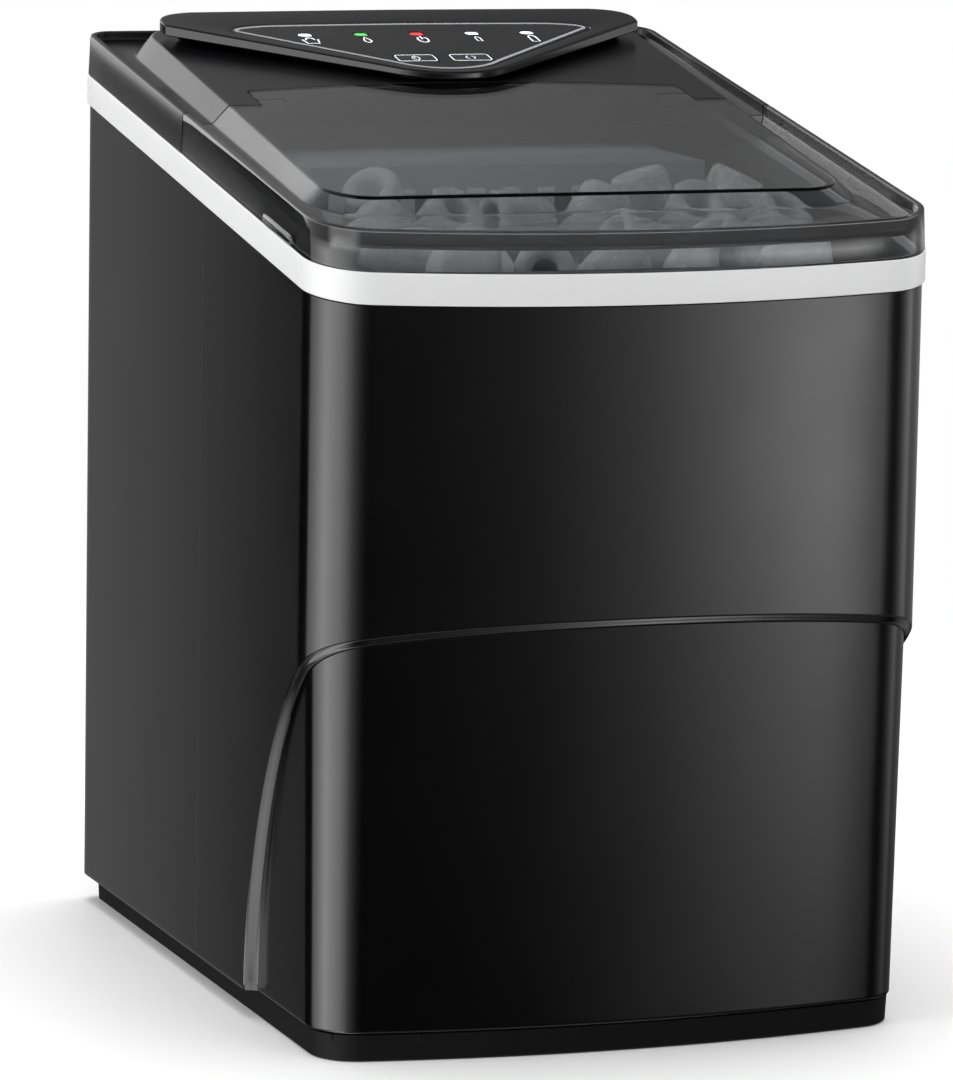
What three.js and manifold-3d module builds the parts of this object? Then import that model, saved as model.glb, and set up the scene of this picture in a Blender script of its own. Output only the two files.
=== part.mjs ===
// Countertop bullet-ice maker. Millimetres, +Z up, front face towards -Y,
// origin on the resting surface at the centre of the footprint.
import * as THREE from 'three';
import { mergeVertices } from 'three/addons/utils/BufferGeometryUtils.js';
import Module from 'manifold-3d';

const wasm = await Module();
wasm.setup();

// ---------------------------------------------------------------- sizes
const GAP = 0.3; // between touching pieces
const FAR = 600; // reach of a cutting body

// casing
const WIDTH = 224;
const DEPTH = 290.8;
const FRONT_HEIGHT = 267.4; // top of the trim band at the front
const BACK_HEIGHT = 311.9; // top of the trim band at the back
const FOOT_HEIGHT = 10;
const WALL = 2.4;
const FRONT_RADIUS = 525; // bow of the front face in plan
const FRONT_CORNER = 23;
const BACK_CORNER = 10;
const SEAM_Y = -3.7; // joint between the front and rear housings

// trim band
const BAND_HEIGHT = 11.4;
const BAND_STEP = 1; // the band stands proud of the housings
const BAND_THICKNESS = 4;
const BAND_LIP = 5; // inner ledge that carries the liner's flange
const BAND_LIP_HEIGHT = 5.4;

// recessed arch panel of the front housing
const ARCH_DEPTH = 2.6;
const ARCH_TAPER = 1.8; // further in at the bottom
const ARCH_HEIGHT = 140; // above the housing's bottom edge
const ARCH_CROWN = 4; // the arch drops this much at the sides
const ARCH_REACH = 86; // how far back the arch comes down
const ARCH_POWER = 1.76;

// top cover and lid share one cap profile
const CAP_STEP = 1.4; // set back from the band's face
const CAP_WALL = 2.2;
const RIM_FRONT_RISE = 11.4; // rim above the band, at the front
const RIM_BACK_RISE = 14.4;
const RIM_THICKNESS = 2;
const CHANNEL_DEPTH = 3.4; // sunk ledge between the rim and the dome
const DOME_FRONT_RISE = 12; // plane of the dome's top above the band's front
const DOME_BACK_RISE = 19.1;
const DOME_SIDE_LEDGE = 11.7; // casing side to the dome's foot
const DOME_FRONT_LEDGE = 45.4;
const DOME_BACK_LEDGE = 11.4;
const DOME_CHAMFER = 6;
const DOME_CORNER = 22;
const TONGUE_HALF_WIDTH = 81.5;
const TONGUE_LENGTH = 18.5;
const TONGUE_BOW = 8;
const TONGUE_TUCK = 2.4; // the pod's tip reaches this far over the tongue
const SEAM_GAP = 0.8;
const GRIP_LENGTH = 31; // finger grips low on the lid's sides
const GRIP_HEIGHT = 2.9;
const GRIP_FRONT_INSET = 41;

// lid hinge
const HINGE_SETBACK = 9.5; // axis behind the seam
const HINGE_DROP = 3.1; // axis below the dome's top
const KNUCKLE_RADIUS = 2.7;
const KNUCKLE_LENGTH = 11;
const PIN_RADIUS = 1.5;
const PIN_SEAT = 1; // solid plastic left beyond each end of a pin
const LUG_THICKNESS = 4;
const LUG_HALF_DEPTH = 4.5;
const LUG_HEIGHT = 5.6;

// control pod: a wedge with a shield-shaped plan
const POD_HALF_WIDTH = 92;
const POD_BACK_INSET = 23.4; // behind the pod to the band's back
const POD_LENGTH = 77.4;
const POD_TIP_RISE = 4.3; // pod top above the dome at the tip
const POD_BACK_RISE = 7.4;
const POD_SHOULDER = 17; // back edge to the start of the slanted side
const POD_NOSE = 23; // half width of the blunt tip
const POD_SHADOW = 0.41; // share of the pod's height taken by the recessed neck
const POD_NECK_INSET = 4.4;
const POD_ROOF = 2.2;
const WINDOW_INSET = 1; // opening in the cover, from the panel's edge
const PANEL_HALF_WIDTH = 69;
const PANEL_BACK_INSET = 16.7;
const PANEL_TIP_INSET = 4;
const PANEL_SHOULDER = 10;
const PANEL_NOSE = 20.5;
const PANEL_THICKNESS = 0.8;
const BOARD_DROP = 7.2; // pod top to the display board
const BOARD_THICKNESS = 1.4;
const LAMP_COUNT = 5;
const LAMP_PITCH = 21.5;
const LAMP_WIDTH = 6.5;
const LAMP_DEPTH = 3;
const LAMP_ROW = 30; // from the pod's back edge
const KEY_LENGTH = 16;
const KEY_DEPTH = 8.6;
const KEY_ROW = 17.4; // from the pod's tip
const KEY_SPACING = 10.5; // key centre from the middle
const KEY_STANDOFF = 0.1;
const KEY_TRAVEL = 0.6;

// ice bay
const FOAM = 7;
const LINER_WALL = 2;
const LINER_HALF_WIDTH = 96;
const LINER_FRONT_INSET = 15;
const LINER_CORNER = 24;
const RESERVOIR_FLOOR = 45;
const FLANGE_THICKNESS = 2.2;
const BOARD_BAY = 80; // behind the liner, to the rear housing
const REAR_BAY = 64; // shallow part of the liner
const BASKET_HEIGHT = 92;
const BASKET_WALL = 2;
const BASKET_SIDE_GAP = 4;
const BASKET_FRONT_GAP = 4;
const BASKET_REAR_GAP = 12;
const BASKET_TOP_DROP = 15; // below the band's top at the front
const BASKET_TAPER = 3;
const BASKET_CORNER = 18;
const RAIL_WIDTH = 9;
const RAIL_HEIGHT = 6;
const SENSOR_SIZE = 14;

// evaporator and tray
const FINGER_COUNT = 9;
const FINGER_PITCH = 13.6;
const FINGER_RADIUS = 4.6;
const FINGER_LENGTH = 38;
const PLATE_THICKNESS = 10;
const PLATE_DEPTH = 22;
const TRAY_RADIUS = 30; // inside the trough
const TRAY_WALL = 1.8;
const TRAY_HALF_LENGTH = 62;
const TRAY_DROP = 47.2; // axis below the band's top at the liner's back
const TRAY_SETBACK = 38; // axis in front of the liner's back
const SHAFT_RADIUS = 2.5;
const COVER_HALF_WIDTH = 74;
const COVER_WALL = 2;
const COVER_HEIGHT = 37; // above the tray's axis, less the roof's slack
const COVER_LIP = 17; // front apron of the evaporator cover
const COMB_THICKNESS = 2.6;
const COMB_HEIGHT = 20;
const COMB_TEETH = 11;

// cooling circuit
const COMPRESSOR_RADIUS = 50;
const COMPRESSOR_HEIGHT = 110;
const GROMMET_RADIUS = 8;
const GROMMET_HEIGHT = 7;
const FLOOR_CLEARANCE = 20; // compressor top to the liner's rear floor
const FAN_SIZE = 112;
const FAN_DEPTH = 20;
const FAN_BORE = 50;
const FAN_BLADES = 7;
const FAN_HUB = 17;
const FAN_MOTOR = 13;
const SIDE_CLEARANCE = 4;
const CONDENSER_DEPTH = 24;
const CONDENSER_FINS = 9;
const CONDENSER_TUBES = 4;
const PIPE_RADIUS = 3;
const LINE_RADIUS = 2; // pipes of the evaporator
const DRIER_RADIUS = 9;
const DRIER_LENGTH = 60;

// base and fasteners
const PLINTH_INSET = 8;
const PLINTH_HEIGHT = 6;
const FLOOR_THICKNESS = 2.8;
const FOOT_RADIUS = 11;
const FOOT_INSET = 30;
const GRILLE_SLOT = 3.6;
const GRILLE_PITCH = 8;
const GRILLE_FRAME = 9;
const SCREW_RADIUS = 1.6;
const SCREW_HEAD = 3.4;
const SCREW_LENGTH = 11;
const BOSS_SIZE = 12;
const SCREW_INSET = 26; // from the side of the casing
const LOWER_SCREW_Z = 24;
const DRAIN_SETBACK = 33; // in front of the reservoir's back wall
const DRAIN_Z = 54;
const DRAIN_RADIUS = 7;
const DRAIN_BORE = 4;
const CAP_FLANGE = 1.4;
const GLAND_X = -70;
const GLAND_Z = 34;
const GLAND_BORE = 3.5;
const GLAND_RADIUS = 6.5;
const GLAND_FLANGE = 9;

// ---------------------------------------------------------------- derived places
const BAND_FRONT_Y = -DEPTH / 2;
const BAND_BACK_Y = DEPTH / 2;

// Heights of the sloped surfaces at a distance y.
const slopedZ = (front, back) => (y) => front + (back - front) * (y - BAND_FRONT_Y) / DEPTH;
const bandZ = slopedZ(FRONT_HEIGHT, BACK_HEIGHT);
const rimZ = slopedZ(FRONT_HEIGHT + RIM_FRONT_RISE, BACK_HEIGHT + RIM_BACK_RISE);
const channelZ = (y) => rimZ(y) - CHANNEL_DEPTH;
const domeZ = slopedZ(FRONT_HEIGHT + DOME_FRONT_RISE, BACK_HEIGHT + DOME_BACK_RISE);
const HOUSING_INSET = BAND_STEP;
const INNER_INSET = BAND_STEP + WALL;
const SIDE_IN = WIDTH / 2 - INNER_INSET;
const BACK_IN = BAND_BACK_Y - INNER_INSET;
const FLOOR_Z = FOOT_HEIGHT + FLOOR_THICKNESS;
const BAND_BOTTOM = -BAND_HEIGHT;

const LINER_BACK_Y = BACK_IN - BOARD_BAY;
const LINER_STEP_Y = LINER_BACK_Y - REAR_BAY;
const LINER_FRONT_Y = BAND_FRONT_Y + LINER_FRONT_INSET;
const DRAIN_Y = LINER_STEP_Y - DRAIN_SETBACK;
const COMPRESSOR_Z = FLOOR_Z + GAP + GROMMET_HEIGHT + GAP;
const REAR_FLOOR = COMPRESSOR_Z + COMPRESSOR_HEIGHT + FLOOR_CLEARANCE;
const BASKET_TOP = FRONT_HEIGHT - BASKET_TOP_DROP;
const BASKET_BOTTOM = BASKET_TOP - BASKET_HEIGHT;
const LINER_INSIDE = LINER_HALF_WIDTH - LINER_WALL;
const BASKET_HALF_WIDTH = LINER_INSIDE - BASKET_SIDE_GAP;
const BASKET_FRONT_Y = LINER_FRONT_Y + LINER_WALL + BASKET_FRONT_GAP;
const BASKET_BACK_Y = LINER_STEP_Y - BASKET_REAR_GAP;

const TRAY_Y = LINER_BACK_Y - TRAY_SETBACK;
const TRAY_Z = bandZ(LINER_BACK_Y) - TRAY_DROP;
const TRAY_OUTSIDE = TRAY_RADIUS + TRAY_WALL;
const COVER_FRONT_Y = TRAY_Y - TRAY_OUTSIDE - COVER_WALL;
const COVER_BACK_Y = LINER_BACK_Y - LINER_WALL - COVER_WALL;
const COVER_TOP = TRAY_Z + COVER_HEIGHT;
const PLATE_BOTTOM = TRAY_Z + FINGER_LENGTH - TRAY_RADIUS + 2;

const POD_BACK_Y = BAND_BACK_Y - POD_BACK_INSET;
const POD_TIP_Y = POD_BACK_Y - POD_LENGTH;
const podRise = (y) => POD_TIP_RISE + (POD_BACK_RISE - POD_TIP_RISE) * (y - POD_TIP_Y) / POD_LENGTH;
const podZ = (y) => domeZ(y) + podRise(y);
const podEdgeZ = (y) => domeZ(y) + POD_SHADOW * podRise(y);
const LID_SEAM_Y = POD_TIP_Y + TONGUE_TUCK - TONGUE_LENGTH - TONGUE_BOW; // outside the tongue
const HINGE_Y = LID_SEAM_Y + HINGE_SETBACK;
const HINGE_Z = domeZ(HINGE_Y) - HINGE_DROP;
const FAN_X1 = SIDE_IN - SIDE_CLEARANCE;
const FAN_X0 = FAN_X1 - FAN_DEPTH;
const FAN_Y1 = BACK_IN - BOSS_SIZE - SIDE_CLEARANCE;
const FAN_Y = FAN_Y1 - FAN_SIZE / 2;
const FAN_Z = FLOOR_Z + GAP + FAN_SIZE / 2 + 6;
const CONDENSER_X1 = FAN_X0 - SIDE_CLEARANCE;
const CONDENSER_X0 = CONDENSER_X1 - CONDENSER_DEPTH;
const COMPRESSOR_X = -SIDE_IN + 2 * SIDE_CLEARANCE + COMPRESSOR_RADIUS;
const COMPRESSOR_Y = BACK_IN - 2 * SIDE_CLEARANCE - COMPRESSOR_RADIUS;
const COMPRESSOR_TOP = COMPRESSOR_Z + COMPRESSOR_HEIGHT;

// ---------------------------------------------------------------- solids
function toSolid(geometry) {
  const bare = geometry.clone();
  bare.deleteAttribute('normal');
  bare.deleteAttribute('uv');
  const merged = mergeVertices(bare, 1e-4);
  return new wasm.Manifold(new wasm.Mesh({
    numProp: 3,
    vertProperties: new Float32Array(merged.attributes.position.array),
    triVerts: new Uint32Array(merged.index.array),
  }));
}

function toGeometry(solid) {
  const mesh = solid.getMesh();
  const geometry = new THREE.BufferGeometry();
  geometry.setAttribute('position', new THREE.BufferAttribute(mesh.vertProperties, 3));
  geometry.setIndex(new THREE.BufferAttribute(mesh.triVerts, 1));
  geometry.computeVertexNormals();
  return geometry;
}

function combine(first, others, operation) {
  let solid = toSolid(first);
  for (const other of others) {
    solid = solid[operation](toSolid(other));
  }
  return toGeometry(solid);
}

const join = (first, ...others) => combine(first, others, 'add');
const cut = (first, ...others) => combine(first, others, 'subtract');
const overlap = (first, ...others) => combine(first, others, 'intersect');

function block(x0, x1, y0, y1, z0, z1) {
  const geometry = new THREE.BoxGeometry(x1 - x0, y1 - y0, z1 - z0);
  return geometry.translate((x0 + x1) / 2, (y0 + y1) / 2, (z0 + z1) / 2);
}

function slab(points, bottom, top) {
  const shape = new THREE.Shape(points);
  const geometry = new THREE.ExtrudeGeometry(shape, { depth: top - bottom, bevelEnabled: false });
  return geometry.translate(0, 0, bottom);
}

const AXIS_TURN = {
  x: (geometry) => geometry.rotateZ(-Math.PI / 2),
  y: (geometry) => geometry,
  z: (geometry) => geometry.rotateX(Math.PI / 2),
};

// A round rod of the given radius from `start`, running `length` along an axis.
function rod(axis, radius, start, length, sides = 16) {
  const geometry = AXIS_TURN[axis](new THREE.CylinderGeometry(radius, radius, length, sides));
  const middle = new THREE.Vector3(...start);
  middle[axis] += length / 2;
  return geometry.translate(middle.x, middle.y, middle.z);
}

// A closed body through a row of sections with equal numbers of points.
function loft(sections) {
  const count = sections[0].length;
  const positions = sections.flat().flatMap((point) => [point.x, point.y, point.z]);
  const indices = [];
  for (let level = 0; level + 1 < sections.length; level += 1) {
    for (let i = 0; i < count; i += 1) {
      const a = level * count + i;
      const b = level * count + (i + 1) % count;
      indices.push(a, b, b + count, a, b + count, a + count);
    }
  }
  const flat = sections[0].map((point) => point.plan);
  const last = (sections.length - 1) * count;
  for (const [a, b, c] of THREE.ShapeUtils.triangulateShape(flat, [])) {
    indices.push(a, c, b);
    indices.push(last + a, last + b, last + c);
  }
  const geometry = new THREE.BufferGeometry();
  geometry.setAttribute('position', new THREE.Float32BufferAttribute(positions, 3));
  geometry.setIndex(indices);
  return geometry;
}

// One level of a loft: a plan outline lifted to a height, or onto a sloped surface.
function level(points, height) {
  const heightAt = typeof height === 'function' ? height : () => height;
  return points.map((p) => ({ x: p.x, y: p.y, z: heightAt(p.y), plan: p }));
}

const lifted = (surface, rise) => (y) => surface(y) + rise;

const TUBE_STEP = 8;

function tube(points, radius = PIPE_RADIUS, sides = 8) {
  const path = new THREE.CatmullRomCurve3(points.map((p) => new THREE.Vector3(...p)), false, 'centripetal');
  const section = new THREE.Shape().absarc(0, 0, radius, 0, 2 * Math.PI);
  const round = new THREE.Shape(section.getPoints(sides / 2).slice(0, -1));
  const steps = Math.max(6, Math.round(path.getLength() / TUBE_STEP));
  return new THREE.ExtrudeGeometry(round, { steps, extrudePath: path, bevelEnabled: false });
}

function turned(profile, x, y, segments = 24) {
  const points = profile.map(([radius, z]) => new THREE.Vector2(radius, z));
  const geometry = new THREE.LatheGeometry(points, segments);
  return geometry.rotateX(Math.PI / 2).translate(x, y, 0);
}

// ---------------------------------------------------------------- outlines
function arc(centreX, centreY, radius, from, to, count) {
  const points = [];
  for (let i = 0; i <= count; i += 1) {
    const angle = from + (to - from) * i / count;
    points.push(new THREE.Vector2(centreX + radius * Math.cos(angle), centreY + radius * Math.sin(angle)));
  }
  return points;
}

// Plan of the casing, set in from the band's outer face.
function outline(inset) {
  const quarter = Math.PI / 2;
  const front = Math.max(FRONT_CORNER - inset, 1);
  const back = Math.max(BACK_CORNER - inset, 1);
  const bowCentre = BAND_FRONT_Y + FRONT_RADIUS;
  const bowRadius = FRONT_RADIUS - inset;
  const frontX = WIDTH / 2 - inset - front;
  const frontY = bowCentre - Math.sqrt((bowRadius - front) ** 2 - frontX ** 2);
  const backX = WIDTH / 2 - inset - back;
  const backY = BAND_BACK_Y - inset - back;
  const swing = Math.atan2(frontX, bowCentre - frontY);
  return [
    ...arc(0, bowCentre, bowRadius, -quarter - swing, -quarter + swing, 10),
    ...arc(frontX, frontY, front, -quarter + swing, 0, 6).slice(1),
    ...arc(backX, backY, back, 0, quarter, 4),
    ...arc(-backX, backY, back, quarter, 2 * quarter, 4),
    ...arc(-frontX, frontY, front, 2 * quarter, 3 * quarter - swing, 6).slice(0, -1),
  ];
}

function roundedRect(x0, x1, y0, y1, radius, count = 5) {
  const quarter = Math.PI / 2;
  return [
    ...arc(x1 - radius, y0 + radius, radius, -quarter, 0, count),
    ...arc(x1 - radius, y1 - radius, radius, 0, quarter, count),
    ...arc(x0 + radius, y1 - radius, radius, quarter, 2 * quarter, count),
    ...arc(x0 + radius, y0 + radius, radius, 2 * quarter, 3 * quarter, count),
  ];
}

function domeOutline(inset) {
  const half = WIDTH / 2 - DOME_SIDE_LEDGE - inset;
  const front = BAND_FRONT_Y + DOME_FRONT_LEDGE + inset;
  const back = BAND_BACK_Y - DOME_BACK_LEDGE - inset;
  return roundedRect(-half, half, front, back, DOME_CORNER - inset);
}

// Shield-shaped plan with a blunt point to the front, set in from its own edge.
function shield(size, inset) {
  const half = size.half - inset * 1.15;
  const nose = size.nose - inset * 0.5;
  const back = size.back - inset;
  const shoulder = back - size.shoulder + inset * 1.6;
  const tip = size.tip + inset * 0.8;
  const shape = new THREE.Shape();
  shape.moveTo(0, back);
  shape.lineTo(-half + 14, back - 1);
  shape.quadraticCurveTo(-half - 3, back - 3, -half, shoulder);
  shape.lineTo(-nose, tip + 8);
  shape.quadraticCurveTo(-nose * 0.6, tip, 0, tip);
  shape.quadraticCurveTo(nose * 0.6, tip, nose, tip + 8);
  shape.lineTo(half, shoulder);
  shape.quadraticCurveTo(half + 3, back - 3, half - 14, back - 1);
  return shape.getPoints(5);
}

const podPlan = (inset) => shield({
  half: POD_HALF_WIDTH,
  back: POD_BACK_Y,
  tip: POD_TIP_Y,
  shoulder: POD_SHOULDER,
  nose: POD_NOSE,
}, inset);

const panelPlan = (inset) => shield({
  half: PANEL_HALF_WIDTH,
  back: POD_BACK_Y - PANEL_BACK_INSET,
  tip: POD_TIP_Y + PANEL_TIP_INSET,
  shoulder: PANEL_SHOULDER,
  nose: PANEL_NOSE,
}, inset);

// ---------------------------------------------------------------- sloped surfaces
// Lays a body that is drawn at its height above a sloped surface onto that surface.
function lay(geometry, surface) {
  const shear = new THREE.Matrix4().set(
    1, 0, 0, 0,
    0, 1, 0, 0,
    0, surface(1) - surface(0), 1, surface(0),
    0, 0, 0, 1,
  );
  return geometry.applyMatrix4(shear);
}

const onDeck = (geometry) => lay(geometry, bandZ);
const belowDeck = (height) => onDeck(block(-FAR, FAR, -FAR, FAR, -FAR, height));

const standing = (inset, bottom) => slab(outline(inset), bottom, FAR);

function ring(outer, inner, bottom, top) {
  return cut(slab(outer, bottom, top), slab(inner, bottom - 1, top + 1));
}

// ---------------------------------------------------------------- the part
const group = new THREE.Group();

const finish = (color, roughness, metalness = 0) => ({ color, roughness, metalness });
const BLACK = finish(0x101114, 0.18);
const DARK = finish(0x1c1d20, 0.5);
const WHITE = finish(0xf2f2f2, 0.35);
const SMOKE = finish(0x2a2c30, 0.08);
const GREY = finish(0xc6c9cc, 0.45);
const RUBBER = finish(0x181818, 0.9);
const STEEL = finish(0xb9bcc0, 0.35, 1);
const ALUMINIUM = finish(0xc8cbcf, 0.4, 1);
const COPPER = finish(0xb4673a, 0.35, 1);
const GREEN = finish(0x1d5c38, 0.6);
const FOAM_CREAM = finish(0xe8e0c4, 0.9);

function add(name, geometry, look) {
  const bare = geometry.clone();
  bare.computeVertexNormals();
  const mesh = new THREE.Mesh(bare, new THREE.MeshStandardMaterial(look));
  mesh.name = name;
  group.add(mesh);
}

const SIDES = { left: -1, right: 1 };

// A box between two distances from the middle plane, on one side of the part.
function sideBlock(side, inner, outer, y0, y1, z0, z1) {
  const edges = [side * inner, side * outer].sort((a, b) => a - b);
  return block(...edges, y0, y1, z0, z1);
}

// ---- base and feet
function rearBosses() {
  const bosses = [];
  for (const side of [-1, 1]) {
    const x = side * (WIDTH / 2 - SCREW_INSET);
    const half = BOSS_SIZE / 2;
    const y1 = BACK_IN - GAP;
    bosses.push(block(x - half, x + half, y1 - BOSS_SIZE, y1, FLOOR_Z - 1, LOWER_SCREW_Z + half));
  }
  return bosses;
}

function screwHole(x, z) {
  return rod('y', SCREW_RADIUS + GAP, [x, BAND_BACK_Y - HOUSING_INSET - SCREW_LENGTH - 1, z], FAR, 12);
}

function addBase() {
  const plinthBottom = FOOT_HEIGHT - PLINTH_HEIGHT;
  const plinth = slab(outline(PLINTH_INSET), plinthBottom, FOOT_HEIGHT + 1);
  const floor = cut(slab(outline(INNER_INSET + GAP), FOOT_HEIGHT, FLOOR_Z), archBacking(GAP));
  const holes = [-1, 1].map((side) => screwHole(side * (WIDTH / 2 - SCREW_INSET), LOWER_SCREW_Z));
  add('base_plate', cut(join(plinth, floor, ...rearBosses()), ...holes), DARK);

  const footX = WIDTH / 2 - FOOT_INSET;
  const footY = DEPTH / 2 - FOOT_INSET;
  for (const [name, x, y] of [
    ['foot_front_left', -footX, -footY],
    ['foot_front_right', footX, -footY],
    ['foot_rear_left', -footX, footY],
    ['foot_rear_right', footX, footY],
  ]) {
    add(name, rod('z', FOOT_RADIUS, [x, y, 0], plinthBottom - GAP, 20), RUBBER);
  }
}

// ---- housings
const upTo = (y) => block(-FAR, FAR, -FAR, y, -FAR, FAR);
const behind = (y) => block(-FAR, FAR, y, FAR, -FAR, FAR);

// The region in front of the arch line, grown outwards for the wall that backs it.
function archRegion(grow) {
  const stations = 8;
  const steps = 14;
  const sections = [];
  for (let i = 0; i <= stations; i += 1) {
    const x = (i / stations - 0.5) * (WIDTH + 20);
    const top = ARCH_HEIGHT - ARCH_CROWN * (2 * x / WIDTH) ** 2 + grow;
    const reach = ARCH_REACH + grow;
    const section = [{ y: BAND_FRONT_Y - 20, z: -20 }];
    section.push({ y: BAND_FRONT_Y + reach, z: -20 });
    for (let j = 0; j <= steps; j += 1) {
      const angle = j / steps * Math.PI / 2;
      section.push({
        y: BAND_FRONT_Y + reach * Math.cos(angle) ** (2 / ARCH_POWER),
        z: FOOT_HEIGHT + top * Math.sin(angle) ** (2 / ARCH_POWER),
      });
    }
    section.push({ y: BAND_FRONT_Y - 20, z: FOOT_HEIGHT + top });
    sections.push(section.map((p) => ({ x, y: p.y, z: p.z, plan: new THREE.Vector2(p.y, p.z) })));
  }
  return loft(sections);
}

// The recessed panel's outer face, leaning in towards the bottom.
function archPanel(inset) {
  const top = FOOT_HEIGHT + ARCH_HEIGHT;
  return loft([
    level(outline(inset + ARCH_TAPER), FOOT_HEIGHT - 1),
    level(outline(inset), top),
    level(outline(inset), top + 20),
  ]);
}

function housingSolid() {
  const outside = standing(HOUSING_INSET, FOOT_HEIGHT);
  return overlap(outside, belowDeck(BAND_BOTTOM - GAP));
}

function drainHole(radius) {
  return rod('x', radius, [LINER_HALF_WIDTH, DRAIN_Y, DRAIN_Z], FAR, 16);
}

// The thicker stretch of wall that carries the recessed panel.
const archBacking = (clearance) => (
  cut(archRegion(WALL + clearance), archPanel(INNER_INSET + ARCH_DEPTH + clearance)));

function addFrontHousing() {
  const recess = cut(archRegion(0), archPanel(HOUSING_INSET + ARCH_DEPTH));
  const outside = cut(overlap(housingSolid(), upTo(SEAM_Y - GAP / 2)), recess);
  const inside = cut(standing(INNER_INSET, 0), archBacking(0));
  add('front_housing', cut(outside, inside, drainHole(DRAIN_RADIUS + GAP)), BLACK);
}

// Rows of level slots through a wall, between two bottom and top heights.
function slots(bottom, top, makeSlot) {
  const count = Math.floor((top - bottom - GRILLE_SLOT) / GRILLE_PITCH) + 1;
  const start = (bottom + top - (count - 1) * GRILLE_PITCH - GRILLE_SLOT) / 2;
  return Array.from({ length: count }, (_, i) => makeSlot(start + i * GRILLE_PITCH));
}

function addRearHousing() {
  const shell = cut(overlap(housingSolid(), behind(SEAM_Y + GAP / 2)), standing(INNER_INSET, 0));
  const half = FAN_SIZE / 2 - GRILLE_FRAME;
  const outlet = slots(FAN_Z - half, FAN_Z + half, (z) => (
    block(SIDE_IN - 5, FAR, FAN_Y - half, FAN_Y + half, z, z + GRILLE_SLOT)));
  const inletHalf = WIDTH / 2 - 3 * GRILLE_FRAME - 10;
  const inlet = slots(FAN_Z - half + 20, FAN_Z + half + 40, (z) => (
    block(-inletHalf, inletHalf, BACK_IN - 5, FAR, z, z + GRILLE_SLOT)));
  const gland = rod('y', GLAND_RADIUS + GAP, [GLAND_X, BACK_IN - 5, GLAND_Z], FAR, 20);
  const screws = screwPlaces().map(([, x, z]) => screwHole(x, z));
  add('rear_housing', cut(shell, ...outlet, ...inlet, gland, ...screws), BLACK);
}

function addBand() {
  const wall = ring(outline(0), outline(BAND_THICKNESS), BAND_BOTTOM, 0);
  const lipTop = BAND_BOTTOM + BAND_LIP_HEIGHT;
  const lip = ring(outline(BAND_THICKNESS - 1), outline(BAND_THICKNESS + BAND_LIP), BAND_BOTTOM, lipTop);
  const notches = upperScrewXs().map((x) => {
    const half = BOSS_SIZE / 2 + GAP;
    return block(x - half, x + half, BAND_BACK_Y - BAND_THICKNESS - BAND_LIP - 1,
      BAND_BACK_Y - BAND_THICKNESS, BAND_BOTTOM - 1, 1);
  });
  add('trim_band', onDeck(cut(join(wall, lip), ...notches)), WHITE);
}

// ---- fasteners of the rear housing
const upperScrewXs = () => [-1, 1].map((side) => side * (WIDTH / 2 - SCREW_INSET));
const UPPER_SCREW_Z = bandZ(BACK_IN) + BAND_BOTTOM - BOSS_SIZE;

function screwPlaces() {
  const x = WIDTH / 2 - SCREW_INSET;
  return [
    ['rear_screw_lower_left', -x, LOWER_SCREW_Z],
    ['rear_screw_lower_right', x, LOWER_SCREW_Z],
    ['rear_screw_upper_left', -x, UPPER_SCREW_Z],
    ['rear_screw_upper_right', x, UPPER_SCREW_Z],
  ];
}

function addScrews() {
  const face = BAND_BACK_Y - HOUSING_INSET;
  for (const [name, x, z] of screwPlaces()) {
    const shank = rod('y', SCREW_RADIUS, [x, face - SCREW_LENGTH, z], SCREW_LENGTH + 0.5, 12);
    const head = rod('y', SCREW_HEAD, [x, face + GAP, z], BAND_STEP - 2 * GAP, 16);
    add(name, join(shank, head), STEEL);
  }
}

// ---- cap profile, shared by the lid and the top cover
const prismBetween = (points, low, high) => loft([level(points, low), level(points, high)]);

function capShell() {
  const rim = outline(CAP_STEP + RIM_THICKNESS);
  const skirt = prismBetween(outline(CAP_STEP), lifted(bandZ, GAP), rimZ);
  const channel = prismBetween(rim, channelZ, lifted(rimZ, FAR / 4));
  const dome = loft([
    level(domeOutline(0), lifted(channelZ, -1)),
    level(domeOutline(0), channelZ),
    level(domeOutline(DOME_CHAMFER), domeZ),
  ]);
  const ceiling = lifted(channelZ, -CAP_WALL);
  const under = prismBetween(outline(CAP_STEP + CAP_WALL), lifted(bandZ, -1), ceiling);
  const hollow = loft([
    level(domeOutline(CAP_WALL / 3), lifted(ceiling, -1)),
    level(domeOutline(CAP_WALL / 3), ceiling),
    level(domeOutline(DOME_CHAMFER + CAP_WALL / 3), lifted(domeZ, -CAP_WALL)),
  ]);
  return cut(join(cut(skirt, channel), dome), under, hollow);
}

// The line between lid and cover from left to right, moved back and out by the cover's clearance.
function seamLine(clearance) {
  const tongue = TONGUE_HALF_WIDTH + clearance / 2;
  const seamY = LID_SEAM_Y + clearance;
  const rearY = seamY + TONGUE_LENGTH;
  const half = [[WIDTH, seamY], [tongue, seamY], [tongue, rearY]];
  const left = half.map(([x, y]) => [-x, y]);
  const bow = [];
  for (let i = 1; i < 12; i += 1) {
    const across = 2 * i / 12 - 1;
    bow.push([across * tongue, rearY + TONGUE_BOW * (1 - across ** 2)]);
  }
  return [...left, ...bow, ...half.reverse()].map(([x, y]) => new THREE.Vector2(x, y));
}

function lidPlan() {
  const corners = [new THREE.Vector2(WIDTH, -FAR), new THREE.Vector2(-WIDTH, -FAR)];
  return slab([...corners, ...seamLine(0)].reverse(), 0, FAR);
}

function coverPlan() {
  const corners = [new THREE.Vector2(WIDTH, FAR), new THREE.Vector2(-WIDTH, FAR)];
  return slab([...corners, ...seamLine(SEAM_GAP)], 0, FAR);
}

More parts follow.
